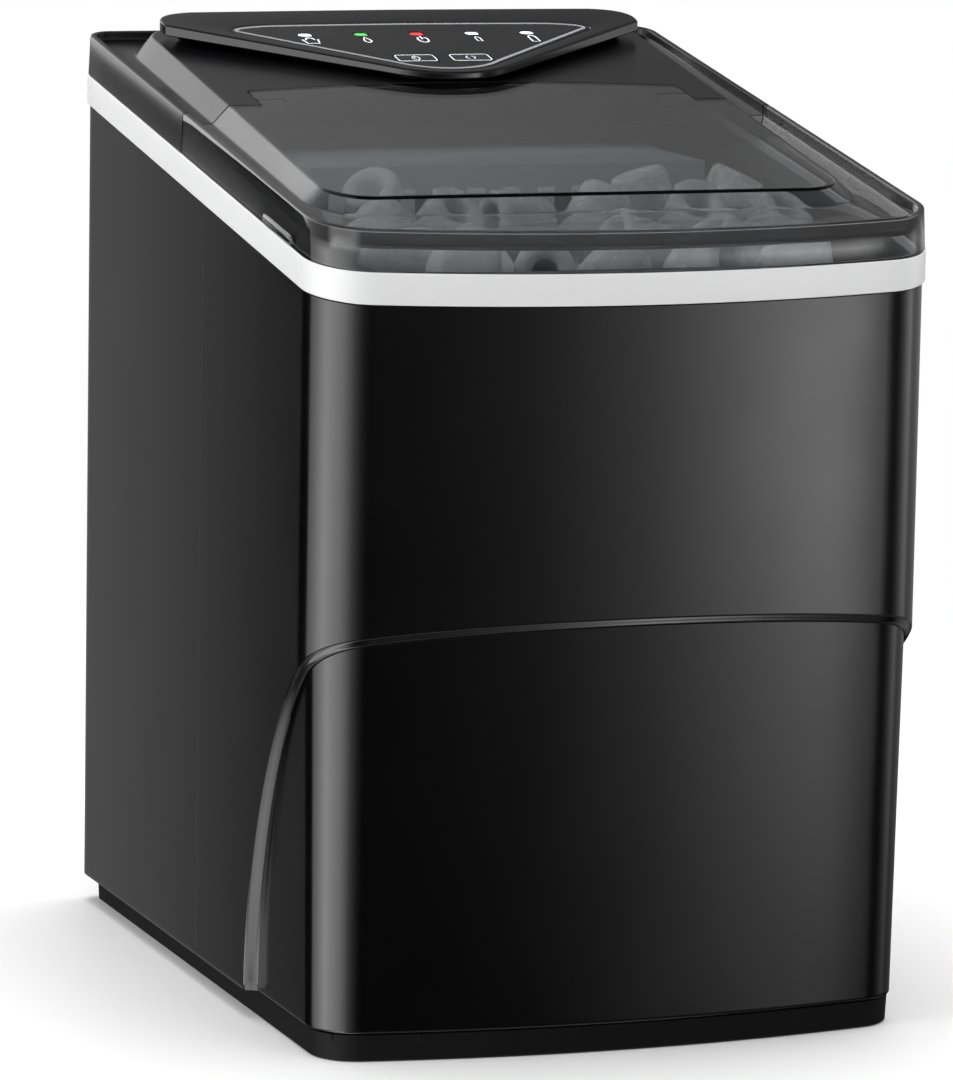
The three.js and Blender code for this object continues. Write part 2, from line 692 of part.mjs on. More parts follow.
// Outer cheek of the tongue's clearance, where the cover's hinge lugs stand.
const LUG_X = TONGUE_HALF_WIDTH + SEAM_GAP / 2;

// A rod on the hinge axis between two distances from the middle plane.
function hingeRod(radius, inner, outer, side) {
  const start = side > 0 ? inner : -outer;
  return rod('x', radius, [start, HINGE_Y, HINGE_Z], outer - inner);
}

function addLid() {
  const gripFront = BAND_FRONT_Y + GRIP_FRONT_INSET;
  const gripIn = WIDTH / 2 - CAP_STEP - 1;
  const grips = [-1, 1].map((side) => onDeck(
    sideBlock(side, gripIn, WIDTH / 2 - GAP, gripFront, gripFront + GRIP_LENGTH, GAP, GAP + GRIP_HEIGHT)));
  const cap = join(overlap(capShell(), lidPlan()), ...grips);
  const knuckleIn = TONGUE_HALF_WIDTH - KNUCKLE_LENGTH;
  const knuckles = [-1, 1].map((side) => hingeRod(KNUCKLE_RADIUS, knuckleIn, TONGUE_HALF_WIDTH, side));
  const bores = [-1, 1].map((side) => (
    hingeRod(PIN_RADIUS + GAP, knuckleIn + PIN_SEAT, TONGUE_HALF_WIDTH + 1, side)));
  add('lid', cut(join(cap, ...knuckles), ...bores), SMOKE);

  for (const [word, side] of Object.entries(SIDES)) {
    const pin = hingeRod(PIN_RADIUS, knuckleIn + PIN_SEAT + GAP, LUG_X + LUG_THICKNESS - PIN_SEAT - GAP, side);
    add(`lid_pin_${word}`, pin, STEEL);
  }
}

function addTopCover() {
  const cap = overlap(capShell(), coverPlan());
  const lugs = [-1, 1].map((side) => lay(
    sideBlock(side, LUG_X, LUG_X + LUG_THICKNESS, HINGE_Y - LUG_HALF_DEPTH, HINGE_Y + LUG_HALF_DEPTH,
      -HINGE_DROP - LUG_HEIGHT, -CAP_WALL / 2), domeZ));
  const bossBottom = BAND_BOTTOM - BOSS_SIZE * 1.5;
  const half = BOSS_SIZE / 2;
  const bossY = BAND_BACK_Y - BAND_THICKNESS - GAP;
  const bosses = upperScrewXs().map((x) => (
    onDeck(block(x - half, x + half, bossY - BOSS_SIZE / 2, bossY, bossBottom, RIM_BACK_RISE - CHANNEL_DEPTH - 1))));
  const opening = slab(panelPlan(WINDOW_INSET), FRONT_HEIGHT, FAR);
  const body = cut(join(cap, ...lugs, ...bosses), opening);
  const screws = upperScrewXs().map((x) => screwHole(x, UPPER_SCREW_Z));
  const bores = [-1, 1].map((side) => (
    hingeRod(PIN_RADIUS + GAP, TONGUE_HALF_WIDTH, LUG_X + LUG_THICKNESS - PIN_SEAT, side)));
  add('top_cover', cut(body, ...screws, ...bores), BLACK);
}

// ---- control pod
function lampPlaces() {
  const names = ['lamp_ice_full', 'lamp_add_water', 'lamp_power', 'lamp_small_ice', 'lamp_large_ice'];
  const y = POD_BACK_Y - LAMP_ROW;
  return names.map((name, i) => [name, (i - (LAMP_COUNT - 1) / 2) * LAMP_PITCH, y]);
}

function keyPlaces() {
  const y = POD_TIP_Y + KEY_ROW;
  return [['power_key', -KEY_SPACING, y], ['select_key', KEY_SPACING, y]];
}

function plate(x, y, length, depth, bottom, top) {
  return block(x - length / 2, x + length / 2, y - depth / 2, y + depth / 2, bottom, top);
}

function lampAndKeyHoles(bottom, top) {
  const lamps = lampPlaces().map(([, x, y]) => (
    plate(x, y, LAMP_WIDTH + 2 * GAP, LAMP_DEPTH + 2 * GAP, bottom, top)));
  const keys = keyPlaces().map(([, x, y]) => (
    plate(x, y, KEY_LENGTH + 2 * GAP, KEY_DEPTH + 2 * GAP, bottom, top)));
  return [...lamps, ...keys];
}

function addPod() {
  const neckBottom = lifted(domeZ, GAP);
  const ceiling = -POD_ROOF;
  const body = join(
    prismBetween(podPlan(0), podEdgeZ, podZ),
    prismBetween(podPlan(POD_NECK_INSET), neckBottom, lifted(podEdgeZ, 0.5)),
  );
  const cavity = prismBetween(podPlan(POD_NECK_INSET + WALL), lifted(domeZ, -1), lifted(podZ, ceiling));
  const recess = lay(slab(panelPlan(-GAP), -PANEL_THICKNESS - GAP, 1), podZ);
  const holes = lay(join(...lampAndKeyHoles(ceiling - 1, 1)), podZ);
  add('control_pod', cut(body, cavity, recess, holes), BLACK);

  const film = cut(slab(panelPlan(0), -PANEL_THICKNESS, 0), ...lampAndKeyHoles(ceiling, 1));
  add('control_overlay', lay(film, podZ), DARK);

  const boardTop = -BOARD_DROP;
  const board = slab(panelPlan(WINDOW_INSET + 2 * GAP), boardTop - BOARD_THICKNESS, boardTop);
  add('display_board', lay(board, podZ), GREEN);

  for (const [name, x, y] of lampPlaces()) {
    add(name, lay(plate(x, y, LAMP_WIDTH, LAMP_DEPTH, boardTop + GAP, -GAP), podZ), WHITE);
  }
  const keyBottom = boardTop + KEY_TRAVEL + GAP;
  for (const [name, x, y] of keyPlaces()) {
    add(name, lay(plate(x, y, KEY_LENGTH, KEY_DEPTH, keyBottom, KEY_STANDOFF), podZ), BLACK);
  }
}

// ---- liner, foam and basket
function linerBody(grow, bottomGrow) {
  const half = LINER_HALF_WIDTH + grow;
  const top = belowDeck(BAND_BOTTOM + BAND_LIP_HEIGHT + GAP + 1);
  const corner = LINER_CORNER + grow;
  const front = roundedRect(-half, half, LINER_FRONT_Y - grow, LINER_STEP_Y + grow, corner);
  const whole = roundedRect(-half, half, LINER_FRONT_Y - grow, LINER_BACK_Y + grow, corner);
  const deep = slab(front, RESERVOIR_FLOOR - LINER_WALL - bottomGrow, REAR_FLOOR);
  const shallow = slab(whole, REAR_FLOOR - LINER_WALL - bottomGrow, FAR);
  return overlap(join(deep, shallow), top);
}

function pipeHole(points, radius = LINE_RADIUS) {
  return tube(points, radius + 2 * GAP);
}

function addLiner() {
  const flangeBottom = BAND_BOTTOM + BAND_LIP_HEIGHT + GAP;
  const flangePlan = slab(outline(BAND_THICKNESS + GAP), flangeBottom, flangeBottom + FLANGE_THICKNESS);
  const flange = onDeck(overlap(flangePlan, upTo(LINER_BACK_Y + 2)));
  const half = LINER_INSIDE;
  const wall = LINER_WALL;
  const corner = LINER_CORNER - wall;
  const deep = roundedRect(-half, half, LINER_FRONT_Y + wall, LINER_STEP_Y - wall, corner);
  const whole = roundedRect(-half, half, LINER_FRONT_Y + wall, LINER_BACK_Y - wall, corner);
  const hollow = join(slab(deep, RESERVOIR_FLOOR, REAR_FLOOR + 1), slab(whole, REAR_FLOOR, FAR));
  const railTop = BASKET_BOTTOM - GAP;
  const rails = [-1, 1].map((side) => (
    sideBlock(side, half - RAIL_WIDTH, half + 1, BASKET_FRONT_Y + LINER_CORNER, BASKET_BACK_Y - LINER_CORNER,
      railTop - RAIL_HEIGHT, railTop)));
  const drain = rod('x', DRAIN_BORE, [half - 1, DRAIN_Y, DRAIN_Z], 5, 16);
  const suction = rod('y', PIPE_RADIUS + 2 * GAP, [SUCTION_X, LINER_STEP_Y - wall - 1, SUCTION_Z], wall + 2, 12);
  const shell = cut(join(linerBody(0, 0), flange), hollow);
  const tub = cut(join(shell, ...rails), drain, suction, pipeHole(suctionPath()), pipeHole(hotGasPath()),
    pipeHole(hosePath(), HOSE_RADIUS));
  add('inner_liner', tub, GREY);
}

function addFoam() {
  const room = cut(standing(INNER_INSET + GAP, 0), archBacking(GAP));
  const jacket = overlap(linerBody(FOAM, FOAM), upTo(LINER_STEP_Y + FOAM), room);
  const hole = linerBody(GAP, GAP);
  const top = belowDeck(BAND_BOTTOM - 2);
  const holes = [
    rod('y', PIPE_RADIUS + 2 * GAP, [SUCTION_X, LINER_STEP_Y - 20, SUCTION_Z], 60, 12),
    drainHole(DRAIN_RADIUS + GAP),
  ];
  const tall = block(-FAR, FAR, LINER_STEP_Y - 1, FAR, REAR_FLOOR - LINER_WALL - FOAM - 1, FAR);
  add('insulation', cut(overlap(jacket, top), hole, tall, ...holes), FOAM_CREAM);
}

function addBasket() {
  const half = BASKET_HALF_WIDTH;
  const plan = (inset) => roundedRect(-half + inset, half - inset, BASKET_FRONT_Y + inset,
    BASKET_BACK_Y - inset, BASKET_CORNER - inset);
  const outside = loft([level(plan(BASKET_TAPER), BASKET_BOTTOM), level(plan(0), BASKET_TOP)]);
  const inside = loft([
    level(plan(BASKET_TAPER + BASKET_WALL), BASKET_BOTTOM + BASKET_WALL),
    level(plan(BASKET_WALL), BASKET_TOP + 1),
  ]);
  const slotCount = 6;
  const pitch = (2 * half - 40) / slotCount;
  const drains = Array.from({ length: slotCount }, (_, i) => {
    const x = (i - (slotCount - 1) / 2) * pitch;
    return plate(x, (BASKET_FRONT_Y + BASKET_BACK_Y) / 2, 5, (BASKET_BACK_Y - BASKET_FRONT_Y) * 0.7,
      BASKET_BOTTOM - 1, BASKET_BOTTOM + BASKET_WALL + 1);
  });
  add('ice_basket', cut(outside, inside, ...drains), GREY);
}

function addSensors() {
  for (const [word, side] of Object.entries(SIDES)) {
    const outer = LINER_INSIDE - GAP;
    const depth = BASKET_SIDE_GAP - 2 * GAP;
    const y = (BASKET_FRONT_Y + BASKET_BACK_Y) / 2;
    const bottom = BASKET_TOP - 2;
    const body = sideBlock(side, outer - depth, outer, y, y + SENSOR_SIZE, bottom, bottom + SENSOR_SIZE - 2);
    add(`ice_sensor_${word}`, body, DARK);
  }
}

// ---- evaporator, tray and shovel
function addEvaporator() {
  const half = (FINGER_COUNT - 1) / 2 * FINGER_PITCH;
  let solid = block(-TRAY_HALF_LENGTH + 2, TRAY_HALF_LENGTH - 2, TRAY_Y - PLATE_DEPTH / 2,
    TRAY_Y + PLATE_DEPTH / 2, PLATE_BOTTOM, PLATE_BOTTOM + PLATE_THICKNESS);
  for (let i = 0; i < FINGER_COUNT; i += 1) {
    const start = [i * FINGER_PITCH - half, TRAY_Y, PLATE_BOTTOM - FINGER_LENGTH];
    solid = join(solid, rod('z', FINGER_RADIUS, start, FINGER_LENGTH + 1, 10));
  }
  const bracketTop = COVER_TOP - COVER_WALL - GAP;
  for (const side of [-1, 1]) {
    const x = side * (TRAY_HALF_LENGTH - 12);
    const top = PLATE_BOTTOM + PLATE_THICKNESS - 1;
    solid = join(solid, block(x - 4, x + 4, TRAY_Y - 6, TRAY_Y + 6, top, bracketTop));
  }
  add('evaporator', solid, STEEL);
}

function addEvaporatorCover() {
  const half = COVER_HALF_WIDTH;
  const wall = COVER_WALL;
  const footZ = REAR_FLOOR + GAP;
  const outside = block(-half, half, COVER_FRONT_Y, COVER_BACK_Y, footZ, COVER_TOP);
  const inside = block(-half + wall, half - wall, COVER_FRONT_Y + wall, COVER_BACK_Y - wall,
    footZ - 1, COVER_TOP - wall);
  const mouth = block(-half + wall, half - wall, COVER_FRONT_Y - 1, COVER_FRONT_Y + wall + 1,
    footZ - 1, COVER_TOP - COVER_LIP);
  const step = block(-FAR, FAR, COVER_FRONT_Y - 1, LINER_STEP_Y + 2, 0, TRAY_Z - TRAY_OUTSIDE - 4);
  const shafts = rod('x', SHAFT_RADIUS + GAP, [-FAR / 2, TRAY_Y, TRAY_Z], FAR, 16);
  const rails = [-1, 1].map((side) => (
    sideBlock(side, half - wall - 7, half - 1, COVER_FRONT_Y, TRAY_Y + 20, COMB_Z - 3 - GAP, COMB_Z - GAP)));
  const railed = cut(outside, inside, mouth, step);
  const box = cut(join(railed, ...rails), shafts, pipeHole(suctionPath()), pipeHole(hotGasPath()));
  add('evaporator_cover', box, GREY);
}

function addTray() {
  const quarter = Math.PI / 2;
  const half = TRAY_HALF_LENGTH;
  const trough = (radius, count) => arc(0, 0, radius, 2 * quarter, 4 * quarter, count);
  const lengthwise = (points, length) => {
    const shape = new THREE.Shape(points);
    const geometry = new THREE.ExtrudeGeometry(shape, { depth: length, bevelEnabled: false });
    return geometry.translate(0, 0, -length / 2).rotateX(quarter).rotateZ(quarter).translate(0, TRAY_Y, TRAY_Z);
  };
  const outside = lengthwise(trough(TRAY_OUTSIDE, 14), 2 * half);
  const inside = lengthwise([...trough(TRAY_RADIUS, 14), new THREE.Vector2(TRAY_RADIUS, 5),
    new THREE.Vector2(-TRAY_RADIUS, 5)], 2 * (half - TRAY_WALL));
  const earLength = COVER_HALF_WIDTH - half + 4;
  const ear = rod('x', SHAFT_RADIUS, [-COVER_HALF_WIDTH, TRAY_Y, TRAY_Z], COVER_HALF_WIDTH - half + 1, 16);
  const hub = rod('x', SHAFT_RADIUS * 2, [half - 1, TRAY_Y, TRAY_Z], 5, 16);
  const bore = rod('x', SHAFT_RADIUS + GAP, [half + GAP, TRAY_Y, TRAY_Z], earLength, 16);
  const endHub = rod('x', SHAFT_RADIUS * 2, [-half - 2, TRAY_Y, TRAY_Z], 3, 16);
  add('water_tray', cut(join(cut(outside, inside), ear, hub, endHub), bore), GREY);

  const shaftStart = half + 2 * GAP;
  const shaftLength = COVER_HALF_WIDTH + 6 - shaftStart;
  add('tray_shaft', rod('x', SHAFT_RADIUS, [shaftStart, TRAY_Y, TRAY_Z], shaftLength, 16), STEEL);

  const motorX = COVER_HALF_WIDTH + GAP;
  const motor = block(motorX, LINER_INSIDE - GAP, TRAY_Y - 14, TRAY_Y + 14, TRAY_Z - 13, TRAY_Z + 12);
  const socket = rod('x', SHAFT_RADIUS + GAP, [motorX - 1, TRAY_Y, TRAY_Z], 8, 16);
  add('tray_motor', cut(motor, socket), DARK);
}

const COMB_Z = TRAY_Z + 9;
const ARM_REACH = 44;

function addShovel() {
  const back = COVER_FRONT_Y - GAP;
  const half = COVER_HALF_WIDTH - COVER_WALL - GAP;
  const front = back - COMB_THICKNESS;
  let solid = block(-half, half, front, back, COMB_Z, COMB_Z + 6);
  const pitch = 2 * half / COMB_TEETH;
  for (let i = 0; i < COMB_TEETH; i += 1) {
    const x = (i - (COMB_TEETH - 1) / 2) * pitch;
    solid = join(solid, plate(x, (front + back) / 2, pitch * 0.45, COMB_THICKNESS, COMB_Z, COMB_Z + COMB_HEIGHT));
  }
  for (const side of [-1, 1]) {
    solid = join(solid, sideBlock(side, half - 4, half, back - 1, back + ARM_REACH, COMB_Z, COMB_Z + 6));
  }
  add('ice_shovel', solid, WHITE);
}

// ---- water circuit
const PUMP_RADIUS = 13;
const PUMP_X = -LINER_HALF_WIDTH + PUMP_RADIUS + GAP;
const PUMP_Y = LINER_STEP_Y + FOAM + 14;
const PUMP_HEIGHT = 34;
const HOSE_RADIUS = 3.6;
const HOSE_X = -COVER_HALF_WIDTH - 10;
const SUCTION_X = PUMP_X + 4;
const PUMP_TOP = FLOOR_Z + GAP + PUMP_HEIGHT;
const SUCTION_Z = PUMP_TOP + 10;

const hosePath = () => {
  const top = PUMP_TOP + GAP;
  return [
    [PUMP_X - 4, PUMP_Y, top],
    [PUMP_X - 4, PUMP_Y, top + 24],
    [HOSE_X, PUMP_Y + 8, REAR_FLOOR - 30],
    [HOSE_X, PUMP_Y + 8, REAR_FLOOR + 20],
    [HOSE_X, TRAY_Y - 6, TRAY_Z - 20],
    [HOSE_X, TRAY_Y - 6, TRAY_Z + 14],
  ];
};

function addWaterCircuit() {
  const floor = FLOOR_Z + GAP;
  add('pump', rod('z', PUMP_RADIUS, [PUMP_X, PUMP_Y, floor], PUMP_HEIGHT, 20), DARK);
  add('pump_hose', tube(hosePath(), HOSE_RADIUS, 10), WHITE);
  const start = LINER_STEP_Y - LINER_WALL;
  const line = [
    [SUCTION_X, start, SUCTION_Z],
    [SUCTION_X, start + 8, SUCTION_Z],
    [SUCTION_X, PUMP_Y - 4, SUCTION_Z],
    [SUCTION_X, PUMP_Y + 2, SUCTION_Z - 4],
    [SUCTION_X, PUMP_Y + 2, PUMP_TOP + GAP],
  ];
  add('suction_hose', tube(line, PIPE_RADIUS, 10), WHITE);
}

function addDrain() {
  const face = WIDTH / 2 - HOUSING_INSET;
  const start = LINER_HALF_WIDTH + GAP;
  const spout = rod('x', DRAIN_RADIUS, [start, DRAIN_Y, DRAIN_Z], face - CAP_FLANGE - start, 20);
  const bore = rod('x', DRAIN_BORE, [start - 1, DRAIN_Y, DRAIN_Z], FAR, 16);
  add('drain_spout', cut(spout, bore), GREY);
  const plug = rod('x', DRAIN_BORE - GAP, [face - 9, DRAIN_Y, DRAIN_Z], 9, 16);
  const head = rod('x', DRAIN_RADIUS - GAP, [face - CAP_FLANGE + GAP, DRAIN_Y, DRAIN_Z], CAP_FLANGE, 20);
  add('drain_cap', join(plug, head), RUBBER);
}

// ---- cooling circuit
function addCompressor() {
  const bottom = COMPRESSOR_Z;
  const top = COMPRESSOR_TOP;
  const r = COMPRESSOR_RADIUS;
  const shell = turned([
    [0, bottom],
    [r * 0.7, bottom],
    [r * 0.94, bottom + 8],
    [r, bottom + 18],
    [r, top - 34],
    [r * 0.93, top - 20],
    [r * 0.72, top - 8],
    [r * 0.4, top - 1.5],
    [0, top],
  ], COMPRESSOR_X, COMPRESSOR_Y);
  let solid = shell;
  const grommets = [];
  for (let i = 0; i < 3; i += 1) {
    const angle = (i / 3 + 0.25) * 2 * Math.PI;
    const x = COMPRESSOR_X + (r - 8) * Math.cos(angle);
    const y = COMPRESSOR_Y + (r - 8) * Math.sin(angle);
    solid = join(solid, rod('z', GROMMET_RADIUS, [x, y, bottom], 3, 14));
    grommets.push([x, y]);
  }
  add('compressor', solid, BLACK);
  grommets.forEach(([x, y], i) => {
    add(`grommet_${i + 1}`, rod('z', GROMMET_RADIUS, [x, y, FLOOR_Z + GAP], GROMMET_HEIGHT, 14), RUBBER);
  });
}

function addCondenser() {
  const y0 = FAN_Y - FAN_SIZE / 2;
  const y1 = FAN_Y + FAN_SIZE / 2;
  const z0 = FLOOR_Z + GAP;
  const z1 = FAN_Z + FAN_SIZE / 2;
  const x0 = CONDENSER_X0;
  const x1 = CONDENSER_X1;
  let solid = join(
    block(x0, x1, y0, y0 + 2, z0, z1),
    block(x0, x1, y1 - 2, y1, z0, z1),
  );
  for (let i = 0; i < CONDENSER_TUBES; i += 1) {
    const z = FAN_Z + (i - (CONDENSER_TUBES - 1) / 2) * FAN_SIZE / CONDENSER_TUBES;
    solid = join(solid, rod('y', PIPE_RADIUS, [(x0 + x1) / 2, y0 + 1, z], y1 - y0 - 2, 8));
  }
  const pitch = (y1 - y0) / (CONDENSER_FINS + 1);
  for (let i = 1; i <= CONDENSER_FINS; i += 1) {
    const y = y0 + i * pitch;
    solid = join(solid, block(x0 + 1, x1 - 1, y - 0.6, y + 0.6, FAN_Z - FAN_SIZE / 2 + 4, z1 - 2));
  }
  add('condenser', solid, ALUMINIUM);
}

function addFan() {
  const half = FAN_SIZE / 2;
  const frame = block(FAN_X0, FAN_X1, FAN_Y - half, FAN_Y + half, FLOOR_Z + GAP, FAN_Z + half);
  const bore = rod('x', FAN_BORE, [FAN_X0 - 1, FAN_Y, FAN_Z], FAN_DEPTH + 2, 32);
  const motorX = FAN_X1 - 11;
  const spokes = [0, Math.PI / 2].map((angle) => {
    const bar = block(FAN_X1 - 3, FAN_X1, -FAN_BORE - 1, FAN_BORE + 1, -2.5, 2.5);
    return bar.rotateX(angle + Math.PI / 4).translate(0, FAN_Y, FAN_Z);
  });
  const seat = rod('x', FAN_MOTOR + GAP, [motorX, FAN_Y, FAN_Z], 20, 20);
  const pad = rod('x', FAN_MOTOR + 3, [FAN_X1 - 3, FAN_Y, FAN_Z], 3, 20);
  const ringed = join(cut(frame, bore), ...spokes, pad);
  add('fan_frame', cut(ringed, seat), DARK);

  const body = rod('x', FAN_MOTOR, [motorX, FAN_Y, FAN_Z], FAN_X1 - motorX, 20);
  const spindle = rod('x', 2, [motorX - 4, FAN_Y, FAN_Z], 5, 12);
  add('fan_motor', join(body, spindle), DARK);

  const hubX = FAN_X0 + 1;
  const hubLength = FAN_DEPTH - 4 - 1 - GAP;
  let fan = rod('x', FAN_HUB, [hubX, FAN_Y, FAN_Z], hubLength, 20);
  const cup = rod('x', FAN_MOTOR + 2 * GAP, [motorX - 1, FAN_Y, FAN_Z], 20, 20);
  const socket = rod('x', 2 + GAP, [motorX - 5, FAN_Y, FAN_Z], 8, 12);
  for (let i = 0; i < FAN_BLADES; i += 1) {
    const blade = block(-5.5, 5.5, -0.8, 0.8, FAN_HUB - 2, FAN_BORE - 3).rotateZ(0.75);
    blade.rotateX(i / FAN_BLADES * 2 * Math.PI).translate(hubX + hubLength / 2, FAN_Y, FAN_Z);
    fan = join(fan, blade);
  }
  add('fan_blades', cut(fan, cup, socket), DARK);
}

const DRIER_X = CONDENSER_X0 - 22;
const DRIER_Y = BACK_IN - 24;
const DRIER_Z = FLOOR_Z + 46;
const VALVE_X = DRIER_X - 6;
const VALVE_Y = LINER_BACK_Y + 22;
const VALVE_Z = COMPRESSOR_TOP + 34;

// From an end of the evaporator plate, over the shovel's arm and out through the liner's back.
function evaporatorLine(side, down) {
  const z = PLATE_BOTTOM + PLATE_THICKNESS - LINE_RADIUS;
  const plateEnd = TRAY_HALF_LENGTH - 2 + GAP;
  const outer = COVER_HALF_WIDTH - COVER_WALL - 2.5 - LINE_RADIUS;
  return [
    [side * plateEnd, TRAY_Y, z],
    [side * (plateEnd + 3.5), TRAY_Y + 0.5, z],
    [side * outer, TRAY_Y + 6, z],
    [side * outer, TRAY_Y + 14, z],
    [side * outer, LINER_BACK_Y + 2, z],
    ...down,
  ];
}

const suctionPath = () => evaporatorLine(-1, [
  [COMPRESSOR_X - 6, LINER_BACK_Y + 16, PLATE_BOTTOM - 16],
  [COMPRESSOR_X, COMPRESSOR_Y, COMPRESSOR_TOP + 60],
  [COMPRESSOR_X, COMPRESSOR_Y, COMPRESSOR_TOP + GAP],
]);

const hotGasPath = () => evaporatorLine(1, [
  [VALVE_X + 8, LINER_BACK_Y + 18, PLATE_BOTTOM - 20],
  [VALVE_X, VALVE_Y, VALVE_Z + 40],
  [VALVE_X, VALVE_Y, VALVE_Z + 12 + GAP],
]);

function addPipes() {
  const height = COMPRESSOR_TOP - 50;
  const port = FAN_Z + FAN_SIZE / 2 - 16;
  const edge = COMPRESSOR_X + COMPRESSOR_RADIUS + GAP;
  const midX = (edge + CONDENSER_X0) / 2;
  add('discharge_pipe', tube([
    [edge, COMPRESSOR_Y, height],
    [midX - 4, COMPRESSOR_Y, height],
    [midX, COMPRESSOR_Y - 12, port - 10],
    [midX + 6, COMPRESSOR_Y - 20, port],
    [CONDENSER_X0 + 1 - GAP, FAN_Y - 2, port],
  ]), COPPER);
  add('suction_pipe', tube(suctionPath(), LINE_RADIUS), COPPER);
  add('hot_gas_pipe', tube(hotGasPath(), LINE_RADIUS), COPPER);

  const half = DRIER_LENGTH / 2;
  const drier = turned([
    [0, -half],
    [PIPE_RADIUS, -half],
    [DRIER_RADIUS, -half + 10],
    [DRIER_RADIUS, half - 10],
    [PIPE_RADIUS, half],
    [0, half],
  ], 0, 0, 16).translate(DRIER_X, DRIER_Y, DRIER_Z + half);
  add('filter_drier', drier, COPPER);
  add('drier_inlet_pipe', tube([
    [CONDENSER_X0 + 1 - GAP, DRIER_Y, DRIER_Z - 22],
    [CONDENSER_X0 - 6, DRIER_Y, DRIER_Z - 22],
    [DRIER_X + 4, DRIER_Y, DRIER_Z - 20],
    [DRIER_X, DRIER_Y, DRIER_Z - 12],
    [DRIER_X, DRIER_Y, DRIER_Z - GAP],
  ]), COPPER);
  const valveLow = VALVE_Z - 12;
  add('drier_outlet_pipe', tube([
    [DRIER_X, DRIER_Y, DRIER_Z + DRIER_LENGTH + GAP],
    [DRIER_X, DRIER_Y, DRIER_Z + DRIER_LENGTH + 14],
    [VALVE_X, VALVE_Y, valveLow - 16],
    [VALVE_X, VALVE_Y, valveLow - GAP],
  ]), COPPER);
  const body = block(VALVE_X - 9, VALVE_X + 9, VALVE_Y - 9, VALVE_Y + 9, valveLow, VALVE_Z + 12);
  add('hot_gas_valve', body, STEEL);
}

// ---- control electronics
function addElectronics() {
  const z0 = REAR_FLOOR + 24;
  const z1 = z0 + 78;
  const x0 = -92;
  const x1 = -8;
  const front = BACK_IN - 28;
  const bracket = join(
    block(x0, x1, front, front + 2, z0, z1),
    block(x0, x0 + 2, front, BACK_IN - GAP, z0, z1),
    block(x1 - 2, x1, front, BACK_IN - GAP, z0, z1),
  );
  add('board_bracket', bracket, STEEL);
  const board = block(x0 + 6, x1 - 6, front + 2 + GAP, front + 2 + GAP + 1.6, z0 + 4, z1 - 4);
  const relay = block(x0 + 14, x0 + 32, front + 3, front + 18, z0 + 12, z0 + 30);
  const coil = block(x1 - 34, x1 - 14, front + 3, front + 16, z0 + 40, z0 + 62);
  add('control_board', join(board, relay, coil), GREEN);
}

function addGland() {
  const face = BAND_BACK_Y - HOUSING_INSET;
  const body = rod('y', GLAND_RADIUS, [GLAND_X, BACK_IN - 5, GLAND_Z], face - BACK_IN + 5.5, 20);
  const flange = rod('y', GLAND_FLANGE, [GLAND_X, face + GAP, GLAND_Z], BAND_STEP - 2 * GAP, 20);
  const bore = rod('y', GLAND_BORE, [GLAND_X, 0, GLAND_Z], FAR, 16);
  add('cord_gland', cut(join(body, flange), bore), RUBBER);
}

addBase();
addFrontHousing();
addRearHousing();
addBand();
addScrews();
addLid();
addTopCover();
addPod();
addLiner();
addFoam();
addBasket();
addSensors();
addEvaporator();
addEvaporatorCover();
addTray();
addShovel();
addWaterCircuit();
addDrain();
addCompressor();
addCondenser();
addFan();
addPipes();
addElectronics();
addGland();

export default group;
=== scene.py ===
import math
from functools import partial, reduce

import bmesh
import bpy
import numpy as np
from mathutils import Matrix, Vector


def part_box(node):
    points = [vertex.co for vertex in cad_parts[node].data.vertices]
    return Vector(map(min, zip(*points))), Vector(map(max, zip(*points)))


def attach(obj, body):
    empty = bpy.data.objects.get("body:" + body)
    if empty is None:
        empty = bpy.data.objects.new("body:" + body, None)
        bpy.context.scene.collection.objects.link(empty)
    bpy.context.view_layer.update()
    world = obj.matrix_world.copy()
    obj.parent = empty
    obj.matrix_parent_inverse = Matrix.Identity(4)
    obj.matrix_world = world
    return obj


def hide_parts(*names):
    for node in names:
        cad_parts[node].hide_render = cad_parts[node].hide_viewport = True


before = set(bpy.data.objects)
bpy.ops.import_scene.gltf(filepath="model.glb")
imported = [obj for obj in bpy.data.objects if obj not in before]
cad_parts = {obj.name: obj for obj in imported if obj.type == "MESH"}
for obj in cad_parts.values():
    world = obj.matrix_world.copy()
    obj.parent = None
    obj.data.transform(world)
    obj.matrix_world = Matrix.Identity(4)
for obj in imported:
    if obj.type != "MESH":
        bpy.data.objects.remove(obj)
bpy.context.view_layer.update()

# ---------------------------------------------------------------- sizes, in millimetres


def box_mm(node):
    low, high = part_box(node)
    return np.array(low) * 1000, np.array(high) * 1000


def middle_mm(node):
    low, high = box_mm(node)
    return (low + high) / 2


QUARTER = math.pi / 2
FAR = 300  # well outside the appliance, for cutting plans

band_low, band_high = box_mm("trim_band")
WIDTH = band_high[0] - band_low[0]
DEPTH = band_high[1] - band_low[1]
FRONT_Y, BACK_Y = band_low[1], band_high[1]
BAND_HEIGHT = 11.4
FRONT_HEIGHT = band_low[2] + BAND_HEIGHT
BACK_HEIGHT = band_high[2]
FOOT_HEIGHT = box_mm("front_housing")[0][2]
HOUSING_INSET = WIDTH / 2 - box_mm("rear_housing")[1][0]
SEAM_Y = (box_mm("front_housing")[1][1] + box_mm("rear_housing")[0][1]) / 2
SEAM_GAP = 0.55
WALL = 2.4
FRONT_RADIUS = 525
FRONT_CORNER = 23
BACK_CORNER = 10

ARCH_DEPTH = 2.6
ARCH_TAPER = 1.8
ARCH_HEIGHT = 140
ARCH_CROWN = 4
ARCH_REACH = 86
ARCH_POWER = 1.76
ARCH_BEVEL = 2.6

